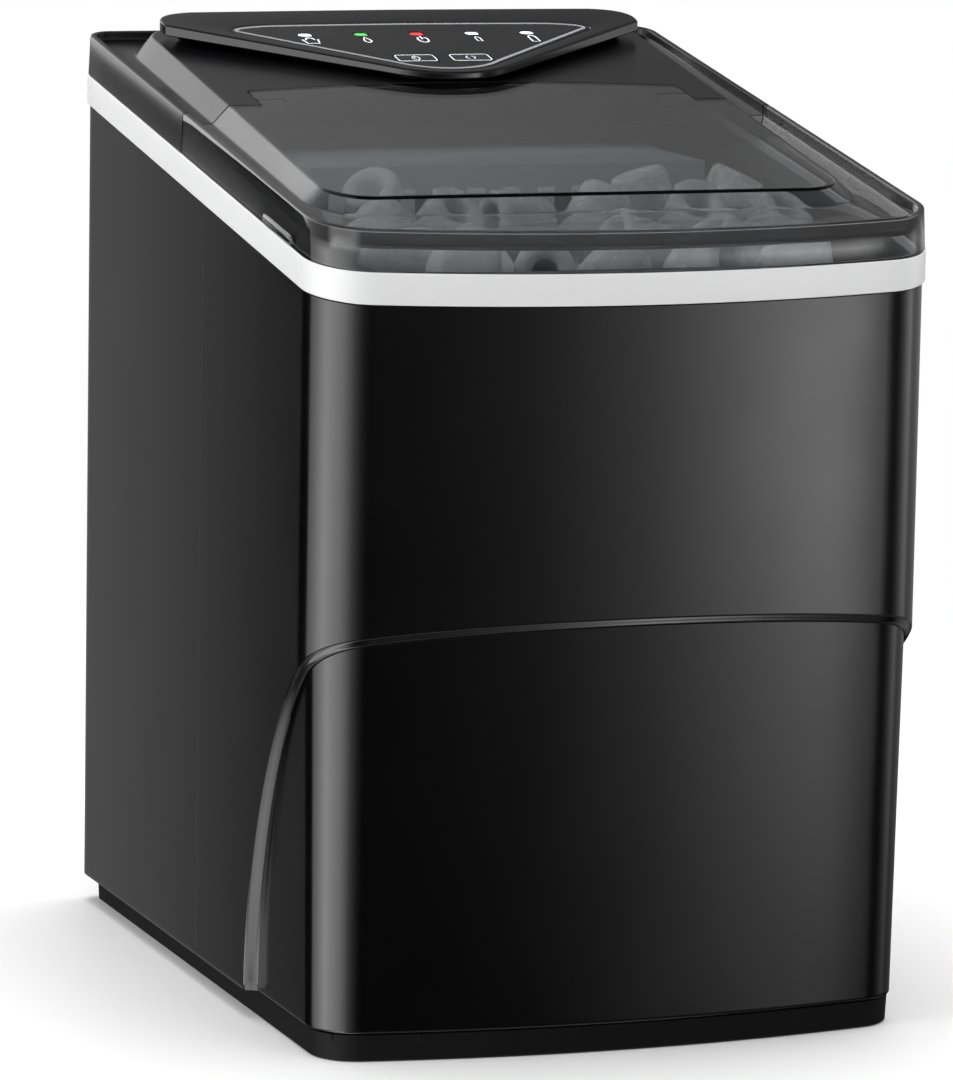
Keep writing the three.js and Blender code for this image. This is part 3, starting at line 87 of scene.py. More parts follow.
CAP_WALL = 1.4
DOME_SIDE_LEDGE = 11.7
DOME_FRONT_LEDGE = 45.4
DOME_BACK_LEDGE = 11.4
DOME_CORNER = 22

LID_SEAM_Y = 20.5
TONGUE_HALF_WIDTH = 81.5
TONGUE_LENGTH = 18.5
TONGUE_BOW = 8
LID_GAP = 0.8

POD_BACK_Y = box_mm("control_pod")[1][1]
POD_TIP_Y = box_mm("control_pod")[0][1]
POD_LENGTH = POD_BACK_Y - POD_TIP_Y
POD_RISE = 4.3  # over the dome, at the pod's tip
POD_CLIMB = 3.1  # how much more at its back
POD_EDGE_SHARE = 0.41

SCREW_BORE, PIN_BORE, GLAND_BORE, SPOUT_BORE = 1.9, 1.8, 6.8, 7.3  # radii of holes
REAR_SCREWS = ["rear_screw_" + word for word in ("lower_left", "lower_right", "upper_left", "upper_right")]


def slope(front, back):
    """Height of a sloped surface at a distance y."""
    return lambda y: front + (back - front) * (y - FRONT_Y) / DEPTH


def above(surface, rise):
    return lambda y: surface(y) + rise


def over_band(front, back):
    """A sloped surface from its heights over the white band in front and at the back."""
    return slope(FRONT_HEIGHT + front, BACK_HEIGHT + back)


band_z, rim_z = over_band(0, 0), over_band(13.3, 13.8)
channel_z, dome_z = over_band(8, 11), over_band(12, 19.1)


def pod_z(y):
    return dome_z(y) + POD_RISE + POD_CLIMB * (y - POD_TIP_Y) / POD_LENGTH


def pod_edge_z(y):
    """The lower edge of the pod's outer wall."""
    return dome_z(y) + POD_EDGE_SHARE * (pod_z(y) - dome_z(y))


# ---------------------------------------------------------------- plans


def arc(x, y, radius, start, end, count):
    turn = np.linspace(start, end, count + 1)
    return np.column_stack([x + radius * np.cos(turn), y + radius * np.sin(turn)])


def between(a, b, count):
    """The points inside a straight run of count steps."""
    share = np.arange(1, count) / count
    return np.outer(1 - share, a) + np.outer(share, b)


BOW, CORNER, SIDE, HEEL, BACK = 36, 12, 14, 6, 12  # steps along each run of a plan


def close_plan(bow, right_corner, right_heel):
    """A plan that is even about the middle, from its front bow, right corner and right heel."""
    flip = np.array([-1, 1])
    left_heel, left_corner = (right_heel * flip)[::-1], (right_corner * flip)[::-1]
    return np.vstack([
        bow, right_corner[1:], between(right_corner[-1], right_heel[0], SIDE), right_heel,
        between(right_heel[-1], left_heel[0], BACK), left_heel,
        between(left_heel[-1], left_corner[0], SIDE), left_corner[:-1],
    ])


def front_bow(inset):
    """The bow's centre and radius, and the right corner's centre, radius and first turn."""
    centre, radius = FRONT_Y + FRONT_RADIUS, FRONT_RADIUS - inset
    corner = max(FRONT_CORNER - inset, 1)
    x = WIDTH / 2 - inset - corner
    y = centre - math.sqrt((radius - corner) ** 2 - x ** 2)
    return centre, radius, x, y, corner, math.atan2(x, centre - y)


def bow_y(x):
    """Where the bowed front lies at a distance from the middle."""
    return FRONT_Y + FRONT_RADIUS - math.sqrt(FRONT_RADIUS ** 2 - x ** 2)


def casing_plan(inset):
    centre, radius, x, y, corner, swing = front_bow(inset)
    heel = max(BACK_CORNER - inset, 1)
    return close_plan(
        arc(0, centre, radius, -QUARTER - swing, -QUARTER + swing, BOW),
        arc(x, y, corner, -QUARTER + swing, 0, CORNER),
        arc(WIDTH / 2 - inset - heel, BACK_Y - inset - heel, heel, 0, QUARTER, HEEL))


def dome_plan(inset):
    half = WIDTH / 2 - DOME_SIDE_LEDGE - inset
    front, back = FRONT_Y + DOME_FRONT_LEDGE + inset, BACK_Y - DOME_BACK_LEDGE - inset
    r = DOME_CORNER - inset
    bow = np.column_stack([np.linspace(r - half, half - r, BOW + 1), np.full(BOW + 1, front)])
    return close_plan(bow, arc(half - r, front + r, r, -QUARTER, 0, CORNER),
                      arc(half - r, back - r, r, 0, QUARTER, HEEL))


def curve(a, b, c, count):
    """A quadratic curve from a to c, without its first point."""
    t = np.arange(1, count + 1)[:, None] / count
    return (1 - t) ** 2 * np.array(a) + 2 * t * (1 - t) * np.array(b) + t ** 2 * np.array(c)


def shield_plan(half, nose, back, tip, shoulder, inset):
    """A shield with a blunt point to the front, set in from its own edge."""
    half, nose = half - inset * 1.15, nose - inset * 0.5
    back, tip, low = back - inset, tip + inset * 0.8, back - shoulder + inset * 0.6
    right = np.vstack([
        curve((0, back), (half / 2, back - 0.4), (half - 14, back - 1), 8),
        curve((half - 14, back - 1), (half + 3, back - 3), (half, low), 10),
        between((half, low), (nose, tip + 8), 12),
        [(nose, tip + 8)],
        curve((nose, tip + 8), (nose * 0.6, tip), (0, tip), 10)[:-1],
    ])
    left = (right * np.array([-1, 1]))[::-1]
    return np.vstack([[(0, back)], right, [(0, tip)], left])[::-1]


def pod_plan(inset):
    return shield_plan(92, 23, POD_BACK_Y, POD_TIP_Y, 17, inset)


def panel_plan(inset):
    return shield_plan(69, 20.5, POD_BACK_Y - 16.7, POD_TIP_Y + 4, 10, inset)


def rounded(x0, x1, y0, y1, radius, count=5):
    centres = ((x1 - radius, y0 + radius), (x1 - radius, y1 - radius), (x0 + radius, y1 - radius),
               (x0 + radius, y0 + radius))
    return np.vstack([arc(x, y, radius, (i - 1) * QUARTER, i * QUARTER, count)
                      for i, (x, y) in enumerate(centres)])


# ---------------------------------------------------------------- meshes


def raise_plan(plan, height):
    z = height(plan[:, 1]) if callable(height) else np.full(len(plan), float(height))
    return np.column_stack([plan, z])


def raised(*runs):
    """Rings from runs of a plan, a surface, and insets with heights above the surface."""
    return [raise_plan(plan(inset), above(surface, lift))
            for plan, surface, rows in runs for inset, lift in rows]


def block(plan, heights):
    """A straight-sided block on a ready plan, between two heights."""
    return loft([raise_plan(plan, z) for z in heights])


def smooth(piece, crease=30):
    piece.data.shade_smooth()
    piece.data.set_sharp_from_angle(angle=math.radians(crease))


def add_object(name, mesh):
    piece = bpy.data.objects.new(name, mesh)
    bpy.context.scene.collection.objects.link(piece)
    return piece


def clean_mesh(mesh, weld, simplify):
    """Welds a mesh's points that are close, simplifies it and turns its faces outwards."""
    shape = bmesh.new()
    shape.from_mesh(mesh)
    bmesh.ops.remove_doubles(shape, verts=shape.verts, dist=weld)
    simplify(shape)
    bmesh.ops.recalc_face_normals(shape, faces=shape.faces)
    shape.to_mesh(mesh)
    shape.free()


def new_piece(name, points, faces, material=None, crease=30):
    """An object from points in millimetres, its faces turned outwards."""
    mesh = bpy.data.meshes.new(name)
    mesh.from_pydata((np.asarray(points, float) / 1000).tolist(), [], faces)
    clean_mesh(mesh, 1e-6, lambda shape: bmesh.ops.dissolve_degenerate(shape, edges=shape.edges, dist=1e-7))
    if material:
        mesh.materials.append(material)
    piece = add_object(name, mesh)
    smooth(piece, crease)
    return piece


def ring_faces(levels, count, round_trip, closed=True):
    """The faces between rings of equal count; the last ring meets the first in a round trip."""
    faces = []
    for level in range(levels if round_trip else levels - 1):
        a, b = level * count, (level + 1) % levels * count
        for i in range(count if closed else count - 1):
            j = (i + 1) % count
            faces.append((a + i, a + j, b + j, b + i))
    return faces


def loft(rings, round_trip=False):
    """Points and faces through rings of equal count, closed by caps unless they come round."""
    levels, count = len(rings), len(rings[0])
    faces = ring_faces(levels, count, round_trip)
    if not round_trip:
        faces.append(tuple(range(count))[::-1])
        faces.append(tuple(range((levels - 1) * count, levels * count)))
    return np.vstack(rings), faces


def several(*bodies):
    """Joins points and faces of several bodies into one set."""
    points, faces, start = [], [], 0
    for body_points, body_faces in bodies:
        points.append(np.asarray(body_points, float))
        faces += [tuple(i + start for i in face) for face in body_faces]
        start += len(body_points)
    return np.vstack(points), faces


def slab(plan, low, high, edge=0.0):
    """A plate on a plan between two surfaces, with small rounded edges when edge is given."""
    if not edge:
        return block(plan(0), (low, high))
    rings = [raise_plan(plan(2.2 * edge), low)]
    rings += [raise_plan(plan(edge * a), above(low, edge * b)) for a, b in ((1, 0), (0.3, 0.3), (0, 1))]
    rings += [raise_plan(plan(edge * a), above(high, -edge * b)) for a, b in ((0, 1), (0.3, 0.3), (1, 0))]
    rings.append(raise_plan(plan(2.2 * edge), high))
    return loft(rings)


def turned(profile, sides, order=(0, 1, 2)):
    """Rings of a turned shape from rows of radius and distance, its axis put where order says."""
    turn = np.linspace(0, 2 * math.pi, sides, endpoint=False)
    return [np.column_stack([r * np.cos(turn), r * np.sin(turn), np.full(sides, along)])[:, list(order)]
            for r, along in profile]


def rod(axis, radius, start, length, sides=24, edge=0.3):
    """A round rod with eased ends, along an axis."""
    profile = ((radius - edge, 0), (radius, edge), (radius, length - edge), (radius - edge, length))
    order = {"x": (2, 0, 1), "y": (1, 2, 0)}[axis]
    return loft([ring + np.array(start) for ring in turned(profile, sides, order)])


def settle(piece):
    """Turns a piece and its modifiers into one plain mesh."""
    graph = bpy.context.evaluated_depsgraph_get()
    mesh = bpy.data.meshes.new_from_object(piece.evaluated_get(graph))
    mesh.name = piece.name
    piece.modifiers.clear()
    piece.data = mesh


def cut(piece, cutter, operation="DIFFERENCE"):
    """Cuts one piece with another, which is used up."""
    change = piece.modifiers.new("cut", "BOOLEAN")
    change.operation, change.solver, change.object = operation, "EXACT", cutter
    settle(piece)
    bpy.data.objects.remove(cutter)
    smooth(piece)


def carve(piece, *bodies, operation="DIFFERENCE"):
    """Cuts a piece with bodies of points and faces."""
    cut(piece, new_piece("tool", *several(*bodies)), operation)


def place(piece, body, *nodes, slot=None):
    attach(piece, body)
    if nodes:
        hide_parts(*nodes)


# ---------------------------------------------------------------- node trees


class Graph:
    """Builds a node tree a step at a time; an input takes a number or another node's output."""

    def __init__(self, tree):
        self.tree = tree

    def feed(self, socket, value):
        if isinstance(value, bpy.types.NodeSocket):
            self.tree.links.new(value, socket)
        else:
            socket.default_value = value

    def add(self, kind, inputs=None, **settings):
        node = self.tree.nodes.new(kind)
        for key, value in settings.items():
            setattr(node, key, value)
        for key, value in (inputs or {}).items():
            self.feed(node.inputs[key], value)
        return node

    def calculate(self, operation, *values):
        return self.add("ShaderNodeMath", dict(enumerate(values)), operation=operation).outputs[0]

    def spread(self, value, low, high, start=0.3, end=0.7):
        """Goes from low to high while the value goes from start to end."""
        return self.add("ShaderNodeMapRange", {"Value": value, "From Min": start, "From Max": end,
                                               "To Min": low, "To Max": high}).outputs[0]

    def split(self, vector):
        return self.add("ShaderNodeSeparateXYZ", {0: vector}).outputs

    def mix(self, share, first, second):
        return self.add("ShaderNodeMixShader", {0: share, 1: first, 2: second}).outputs[0]

    def rays(self, *kinds):
        """1 for rays of the named kinds, else 0."""
        path = self.add("ShaderNodeLightPath").outputs
        return reduce(partial(self.calculate, "MAXIMUM"), [path["Is " + kind + " Ray"] for kind in kinds])

    def show(self, shader, output="Material Output"):
        self.feed(self.tree.nodes[output].inputs["Surface"], shader)


# ---------------------------------------------------------------- repeats


def copying_graph(name, *inputs):
    """A geometry tree that copies a shape onto points: its graph, what it is given, and its copying node."""
    tree = bpy.data.node_groups.new(name, "GeometryNodeTree")
    for word, kind in [("Geometry", "Geometry"), *inputs, ("Finish", "Material")]:
        tree.interface.new_socket(word, in_out="INPUT", socket_type="NodeSocket" + kind)
    tree.interface.new_socket("Geometry", in_out="OUTPUT", socket_type="NodeSocketGeometry")
    graph = Graph(tree)
    given = graph.add("NodeGroupInput").outputs
    copy = graph.add("GeometryNodeInstanceOnPoints")
    real = graph.add("GeometryNodeRealizeInstances", {0: copy.outputs[0]})
    finish = graph.add("GeometryNodeSetMaterial", {"Geometry": real.outputs[0], "Material": given["Finish"]})
    graph.add("NodeGroupOutput", {0: finish.outputs[0]})
    return graph, given, copy.inputs


def copies_tree():
    """Copies of the incoming shape, a step apart."""
    graph, given, copy = copying_graph("evenly_spaced_copies", ("Count", "Int"), ("Step", "Vector"))
    line = graph.add("GeometryNodeMeshLine", {"Count": given["Count"], "Offset": given["Step"]})
    graph.feed(copy["Points"], line.outputs["Mesh"])
    graph.feed(copy["Instance"], given["Geometry"])
    return graph.tree


def points_tree():
    """The given shape on the incoming points, turned as each point says, with a seeded change of size."""
    graph, given, copy = copying_graph("shapes_on_points", ("Shape", "Object"), ("Smallest", "Float"),
                                       ("Largest", "Float"), ("Seed", "Int"))
    shape = graph.add("GeometryNodeObjectInfo", {"Object": given["Shape"]})
    lean = graph.add("GeometryNodeInputNamedAttribute", {"Name": "lean"}, data_type="FLOAT_VECTOR")
    limits = {2: given["Smallest"], 3: given["Largest"], "Seed": given["Seed"]}
    size = graph.add("FunctionNodeRandomValue", limits, data_type="FLOAT")
    graph.feed(copy["Points"], given["Geometry"])
    graph.feed(copy["Instance"], shape.outputs["Geometry"])
    graph.feed(copy["Rotation"], lean.outputs[0])
    graph.feed(copy["Scale"], size.outputs[1])
    return graph.tree


COPIES, POINTS = copies_tree(), points_tree()
SIZE_SEED = 7


def run_tree(piece, tree, values, crease=30):
    """Runs a geometry tree on a piece, with values for its inputs by name."""
    change = piece.modifiers.new("repeats", "NODES")
    change.node_group = tree
    for item in tree.interface.items_tree:
        if item.item_type == "SOCKET" and item.in_out == "INPUT" and item.name in values:
            change[item.identifier] = values[item.name]
    settle(piece)
    smooth(piece, crease)


def on_points(name, shape, rows, material, sizes=(1.0, 1.0), crease=30):
    """Copies of a shape, which is used up, on rows of place in millimetres and turn in degrees."""
    mesh = bpy.data.meshes.new(name)
    mesh.from_pydata([(x / 1000, y / 1000, z / 1000) for x, y, z, *_ in rows], [], [])
    lean = mesh.attributes.new("lean", "FLOAT_VECTOR", "POINT")
    for i, row in enumerate(rows):
        lean.data[i].vector = [math.radians(a) for a in row[3:6]]
    piece = add_object(name, mesh)
    smallest, largest = sizes
    run_tree(piece, POINTS, {"Shape": shape, "Smallest": smallest, "Largest": largest, "Seed": SIZE_SEED,
                             "Finish": material}, crease)
    bpy.data.objects.remove(shape)
    return piece


# ---------------------------------------------------------------- finishes


class Finish(Graph):
    """A procedural material in Object coordinates."""

    def __init__(self, name, colour, rough, **sockets):
        self.material = bpy.data.materials.new(name)
        self.material.use_nodes = True
        super().__init__(self.material.node_tree)
        self.shader = self.tree.nodes["Principled BSDF"]
        self.coords = self.add("ShaderNodeTexCoord").outputs["Object"]
        self.colour, self.normal = colour, None
        self.set(Base_Color=(*colour, 1), Roughness=rough, **sockets)

    def set(self, **sockets):
        """Feeds the shader's inputs, named with an underscore for a space."""
        for key, value in sockets.items():
            self.feed(self.shader.inputs[key.replace("_", " ")], value)
        return self

    def noise(self, scale, detail=3.0, stretch=None):
        vector = self.coords
        if stretch:
            vector = self.add("ShaderNodeMapping", {"Vector": vector, "Scale": stretch}).outputs[0]
        texture = self.add("ShaderNodeTexNoise", {"Vector": vector, "Scale": scale, "Detail": detail})
        return texture.outputs["Fac"]

    def spots(self, scale):
        return self.add("ShaderNodeTexVoronoi", {"Vector": self.coords, "Scale": scale}).outputs["Distance"]

    def tint(self, value, first, last, start=0.3, end=0.7):
        """Colour from first to last times the base colour."""
        one, two = ((*[min(1, c * share) for c in self.colour], 1) for share in (first, last))
        share = self.spread(value, 0, 1, start, end)
        ramp = self.add("ShaderNodeMix", {0: share, 6: one, 7: two}, data_type="RGBA")
        return self.set(Base_Color=ramp.outputs[2])

    def gloss(self, value, low, high):
        return self.set(Roughness=self.spread(value, low, high))

    def relief(self, value, height):
        """Bumps of a height in millimetres, on top of any there are."""
        bump = self.add("ShaderNodeBump", {"Strength": 1.0, "Distance": height / 1000, "Height": value})
        if self.normal:
            self.feed(bump.inputs["Normal"], self.normal)
        self.normal = bump.outputs[0]
        return self.set(Normal=self.normal)


def moulded(name, colour, rough, grain, height, spread=0.04):
    """Moulded plastic: a fine grain, a faint flow of shade and uneven gloss."""
    work = Finish(name, colour, rough)
    work.tint(work.noise(14, 4), 0.94, 1.05).gloss(work.noise(60, 4), rough - spread, rough + spread)
    return work.relief(work.noise(grain, 2), height)


def metal(name, colour, rough, stretch=(1, 1, 60)):
    work = Finish(name, colour, rough, Metallic=1.0)
    brushed = work.noise(300, 3, stretch)
    work.tint(work.noise(35, 4), 0.82, 1.06).gloss(brushed, rough - 0.08, rough + 0.1)
    return work.relief(brushed, 0.01)


def smooth_black(name, rough, low, high, *reliefs):
    """Smooth black plastic with a faint unevenness; reliefs are rows of scale and height."""
    work = Finish(name, (0.0018, 0.0018, 0.0022), rough)
    work.tint(work.noise(9, 3), 0.9, 1.15).gloss(work.noise(22, 4), low, high)
    for scale, height in reliefs:
        work.relief(work.noise(scale, 2), height)
    return work


def white_plastic():
    work = Finish("satin_white_band", (0.8, 0.8, 0.806), 0.3)
    work.tint(work.noise(5, 1), 0.99, 1.0).gloss(work.noise(90, 2), 0.29, 0.31)
    return work.relief(work.noise(1600, 2), 0.004)


LID_SHADE_SPAN = (0.0975, 0.103)  # distances from the middle, in metres, over which a painted shade darkens the lid's colour
# how far the painted shade at the lid's sides darkens its colour
LID_SHADE_TINT = 0.55


def smoked_lid():
    """Clear smoked plastic whose colour a painted shade darkens at its sides; it lets the light for shadows
    straight through.
    """
    work = Finish("smoked_clear_plastic", (0.29, 0.2925, 0.3), 0.03, IOR=1.12, Transmission_Weight=1.0,
                  Coat_Weight=0.85, Coat_Roughness=0.04)
    work.gloss(work.noise(45, 4), 0.015, 0.035).relief(work.noise(9, 1), 0.0005)
    # painted shade: the base colour darkens towards the lid's sides
    work.tint(work.calculate("ABSOLUTE", work.split(work.coords)[0]), 1.0, LID_SHADE_TINT, *LID_SHADE_SPAN)
    clear = work.add("ShaderNodeBsdfTransparent", {"Color": (1, 1, 1, 1)}).outputs[0]
    work.show(work.mix(work.rays("Shadow"), work.shader.outputs[0], clear))
    return work


def lamp_lens(name, colour, power, top=None):
    """A lit indicator; when its top is given, its sides are dark below that."""
    work = Finish(name, colour, 0.25, Emission_Color=(*colour, 1), Emission_Strength=power)
    work.relief(work.noise(900, 2), 0.01).gloss(work.noise(200, 3), 0.2, 0.3)
    work.tint(work.noise(400, 2), 0.92, 1.0)
    if top is not None:
        height = work.split(work.coords)[2]
        work.set(Emission_Strength=work.spread(height, 0, power, (top - 1.6) / 1000, (top - 1.2) / 1000))
    return work


def ice_finish():
    work = Finish("cloudy_ice", (0.93, 0.945, 0.95), 0.22, IOR=1.31)
    cloud = work.noise(55, 5)
    work.tint(cloud, 0.86, 1.06).gloss(work.noise(160, 4), 0.12, 0.34)
    work.relief(work.noise(90, 3), 0.4).relief(work.noise(420, 2), 0.06)
    return work.set(Transmission_Weight=work.spread(cloud, 0.3, 0.04, 0.35, 0.6)).material


# Plastics by slot: name, colour, roughness, grain, its height and the spread of roughness.
MOULDED = {
    "black_satin": ("satin_black_plastic", (0.012, 0.0122, 0.013), 0.42, 1400, 0.02),
    "overlay_film": ("panel_film", (0.005, 0.0052, 0.006), 0.3, 2200, 0.004),
    "key_film": ("key_film", (0.014, 0.0145, 0.017), 0.34, 2600, 0.005),
    "white_ink": ("printed_white", (0.78, 0.8, 0.84), 0.45, 1800, 0.004),
    "silver_ink": ("printed_silver", (0.24, 0.245, 0.26), 0.34, 1800, 0.004),
    "matt_base": ("matt_black_base", (0.0025, 0.0025, 0.0027), 0.6, 500, 0.05),
    "pale_grey": ("pale_grey_plastic", (0.42, 0.43, 0.45), 0.42, 900, 0.02),
    # the liner's dark grey is partly painted shade: its pale plastic is drawn dark for the shaded inside of
    # the tub
    "liner_grey": ("liner_plastic", (0.06, 0.061, 0.064), 0.45, 900, 0.02),
    "basket_grey": ("basket_plastic", (0.66, 0.68, 0.71), 0.36, 1100, 0.015),
    "clear_hose": ("soft_clear_hose", (0.72, 0.73, 0.7), 0.3, 500, 0.03),
    "rubber_black": ("black_rubber", (0.013, 0.013, 0.013), 0.75, 700, 0.06, 0.06),
    "black_paint": ("black_enamel", (0.008, 0.008, 0.0085), 0.22, 120, 0.05),
}
# Metals by slot: name, colour, roughness and how the brushing is drawn out.
METALS = {
    "nickel": ("nickel_plate", (0.66, 0.65, 0.62), 0.26),
    "steel": ("zinc_plated_steel", (0.56, 0.57, 0.58), 0.33),
    "aluminium": ("bare_aluminium", (0.72, 0.73, 0.75), 0.34, (1, 40, 1)),
    "copper": ("drawn_copper", (0.72, 0.36, 0.2), 0.28, (40, 40, 1)),
}
LAMP_WHITE = (0.9, 0.93, 1.0)


def make_finishes():
    rows = {key: moulded(*row) for key, row in MOULDED.items()}
    rows.update((key, metal(*row)) for key, row in METALS.items())
    rows["matt_base"].set(Specular_IOR_Level=0.12)
    rows["clear_hose"].set(Transmission_Weight=0.35)
    rows["black_paint"].set(Coat_Weight=0.6)
    rows["black_gloss"] = smooth_black("polished_black_abs", 0.16, 0.13, 0.18, (38, 0.004), (900, 0.0006))
    rows["cover_black"] = smooth_black("soft_black_abs", 0.25, 0.22, 0.26, (30, 0.002))
    rows["white_satin"], rows["smoke_clear"] = white_plastic(), smoked_lid()
    rows["lamp_lens"] = lamp_lens("lamp_white", LAMP_WHITE, 1.0)
    foam = rows["foam"] = Finish("open_foam", (0.76, 0.7, 0.52), 0.9)
    foam.tint(foam.spots(420), 0.72, 1.08, 0.1, 0.6).gloss(foam.noise(80), 0.82, 0.95)
    foam.relief(foam.spots(520), 0.5)
    board = rows["circuit_board"] = Finish("solder_mask", (0.012, 0.014, 0.013), 0.36)
    board.tint(board.spots(260), 0.7, 1.3, 0.15, 0.5).gloss(board.noise(150), 0.26, 0.46)
    board.relief(board.spots(300), 0.1)
    return {key: work.material for key, work in rows.items()}


FINISHES = make_finishes()

# ---------------------------------------------------------------- camera, floor and light

CAMERA_PLACE = (-0.7570, -2.0643, 0.5068)
CAMERA_TURN, CAMERA_TILT, CAMERA_ROLL = -0.3487, 0.1591, 0.0177  # in radians
CAMERA_LENS = 207.87


def add_camera():
    level = math.cos(CAMERA_TILT)
    look = Vector((-math.sin(CAMERA_TURN) * level, math.cos(CAMERA_TURN) * level, -math.sin(CAMERA_TILT)))
    side = Vector((math.cos(CAMERA_TURN), math.sin(CAMERA_TURN), 0))
    up = side.cross(look)
    x = math.cos(CAMERA_ROLL) * side + math.sin(CAMERA_ROLL) * up
    y = -math.sin(CAMERA_ROLL) * side + math.cos(CAMERA_ROLL) * up
    data = bpy.data.cameras.new("camera")
    data.lens, data.sensor_width = CAMERA_LENS, 36
    camera = add_object("camera", data)
    camera.matrix_world = Matrix.Translation(CAMERA_PLACE) @ Matrix((x, y, -look)).transposed().to_4x4()
    bpy.context.scene.camera = camera


def add_floor():
    """A pale floor with a little sheen, which fades to white far away."""
    reach = 30000
    corners = [(-reach, -reach, 0), (reach, -reach, 0), (reach, reach, 0), (-reach, reach, 0)]
    floor = new_piece("floor", corners, [(0, 1, 2, 3)])
    work = Finish("pale_floor", (0.93, 0.93, 0.93), 0.5, Specular_IOR_Level=0.0)
    work.tint(work.noise(0.6, 2), 0.995, 1.0)
    sheen = work.add("ShaderNodeBsdfGlossy", {"Roughness": 0.12}).outputs[0]
    near = work.mix(0.05, work.shader.outputs[0], sheen)
    white = work.add("ShaderNodeEmission").outputs[0]
    far = work.add("ShaderNodeVectorMath", {0: work.coords}, operation="LENGTH").outputs["Value"]
    fade = work.calculate("MULTIPLY", work.spread(far, 0, 1, 0.25, 0.9),
                          work.rays("Camera", "Glossy", "Transmission"))
    work.show(work.mix(fade, near, white))
    floor.data.materials.append(work.material)
    floor.visible_glossy = False


# Brightness of the studio round the object, by direction in degrees: 0 in front, 90 to the right.
STUDIO = [
    (-180, 0.3), (-152, 0.03), (-142, 0.25), (-134, 0.65), (-113, 2.7), (-89, 6.6), (-57, 4.1), (-45, 2.4),
    (-35, 1.0), (-22, 0.25), (-11, 0.03), (-4, 0.03), (4, 0.12), (13, 0.36), (23, 1.45), (29, 3.0),
    (35, 4.9), (41, 6.4), (43.5, 1.1), (46, 0.2), (58, 0.12), (68, 0.6), (75, 1.3), (84, 2.3), (91, 2.6),
    (98, 1.1), (106, 0.7), (130, 0.6), (150, 0.5), (180, 0.3),
]
OVERHEAD = [
    (-180, 1.4), (-172, 2.7), (-148, 2.7), (-130, 1.3), (-90, 0.9), (0, 0.7), (90, 0.4), (150, 0.18),
    (156, 0.2), (160, 0.3), (164, 0.46), (167, 0.6), (180, 1.4),
]
LOW_LEFT = [
    (-180, 0.0), (-124, 0.1), (-112, 1.2), (-104, 2.1), (-87, 3.3), (-75, 4.0), (-64, 4.6), (-55, 4.8),
    (-44, 3.9), (-36, 0.0), (180, 0.0),
]
# Brightness under the left front corner, by how far the ray goes to the right.
UNDER_CORNER = [
    (-0.4, 0.0), (-0.345, 1.0), (-0.32, 2.0), (-0.3, 3.6), (-0.27, 4.7), (-0.07, 5.4), (-0.03, 2.0),
    (0.0, 0.0), (0.4, 0.0),
]
# Brightness straight down, by the slope of the ray.
BENEATH = [
    (-1.0, 0.0), (-0.96, 0.0), (-0.95, 0.1), (-0.94, 1.0), (-0.93, 4.0), (-0.92, 5.5), (-0.911, 3.0),
    (-0.9, 0.5), (-0.885, 0.0), (-0.8, 0.0), (-0.7, 0.5), (-0.6, 0.6), (-0.5, 0.25), (-0.4, 0.12),
    (0.0, 0.12),
]
BRIGHTEST = 7.0


def add_world():
    """A studio seen only in gloss; the camera sees white, and plain surfaces a soft even light."""
    world = bpy.context.scene.world = bpy.data.worlds.new("studio")
    world.use_nodes = True
    sky = Graph(world.node_tree)
    plus, times, minus, most = (partial(sky.calculate, word)
                                for word in ("ADD", "MULTIPLY", "SUBTRACT", "MAXIMUM"))

    def by_table(rows, value):
        """Brightness from a table; the value is 0 at its first row's place and 1 at its last."""
        first, last = rows[0][0], rows[-1][0]
        ramp = sky.add("ShaderNodeValToRGB", {0: value})
        stops = ramp.color_ramp.elements
        stops.remove(stops[0])
        for i, (place, level) in enumerate(rows):
            share = (place - first) / (last - first)
            stop = stops[0] if i == 0 else stops.new(share)
            stop.position = share
            stop.color = (*[level / BRIGHTEST] * 3, 1)
        return times(ramp.outputs[0], BRIGHTEST)

    def blend(one, two, share):
        return plus(times(one, minus(1.0, share)), times(two, share))

    def within(*limits):
        """1 where every value is past its end, 0 where one is before its start."""
        return reduce(times, [sky.spread(value, 0, 1, start, end) for value, start, end in limits])

    def near(place, start, end, level):
        """Rises to a level round a direction."""
        return sky.spread(sky.calculate("ABSOLUTE", minus(azimuth, place)), 0, level, start, end)

    right, back, rise = sky.split(sky.add("ShaderNodeTexCoord").outputs["Generated"])
    azimuth = sky.calculate("ARCTAN2", right, times(back, -1.0))
    around = within((azimuth, -math.pi, math.pi))
    fall = sky.calculate("POWER", within((rise, -0.285, -0.115)), 1.25)
    sides = times(by_table(STUDIO, around), blend(1.0, fall, within((azimuth, -0.3, 0.0))))
    overhead = within((minus(rise, near(-0.98, 0.5, 0.25, 0.16)), -0.1, 0.04))
    zenith = sky.spread(rise, 1.0, 0.2, 0.62, 0.8)
    studio = blend(sides, times(by_table(OVERHEAD, around), zenith), overhead)
    studio = blend(studio, by_table(BENEATH, within((rise, -1.0, 0.0))), within((rise, -0.38, -0.45)))
    window = within((minus(azimuth, times(rise, 3.2)), 0.0, 0.3), (rise, -0.2, -0.33), (rise, -0.88, -0.85))
    studio = most(studio, times(by_table(LOW_LEFT, around), window))
    window = within((rise, -0.84, -0.87), (back, 0.32, 0.24))
    studio = most(studio, times(by_table(UNDER_CORNER, within((right, -0.4, 0.4))), window))
    window = within((rise, -0.06, 0.03), (rise, 0.4, 0.3))
    studio = plus(studio, times(near(-1.0, 0.55, 0.35, 3.2), window))

    soft, gloss, white = (sky.add("ShaderNodeBackground", {"Strength": level}).outputs[0]
                          for level in (sky.spread(rise, 0.28, 0.62, 0.0, 0.7), studio, 1.0))
    seen = sky.mix(sky.rays("Glossy"), soft, gloss)
    sky.show(sky.mix(sky.rays("Camera", "Transmission"), seen, white), "World Output")


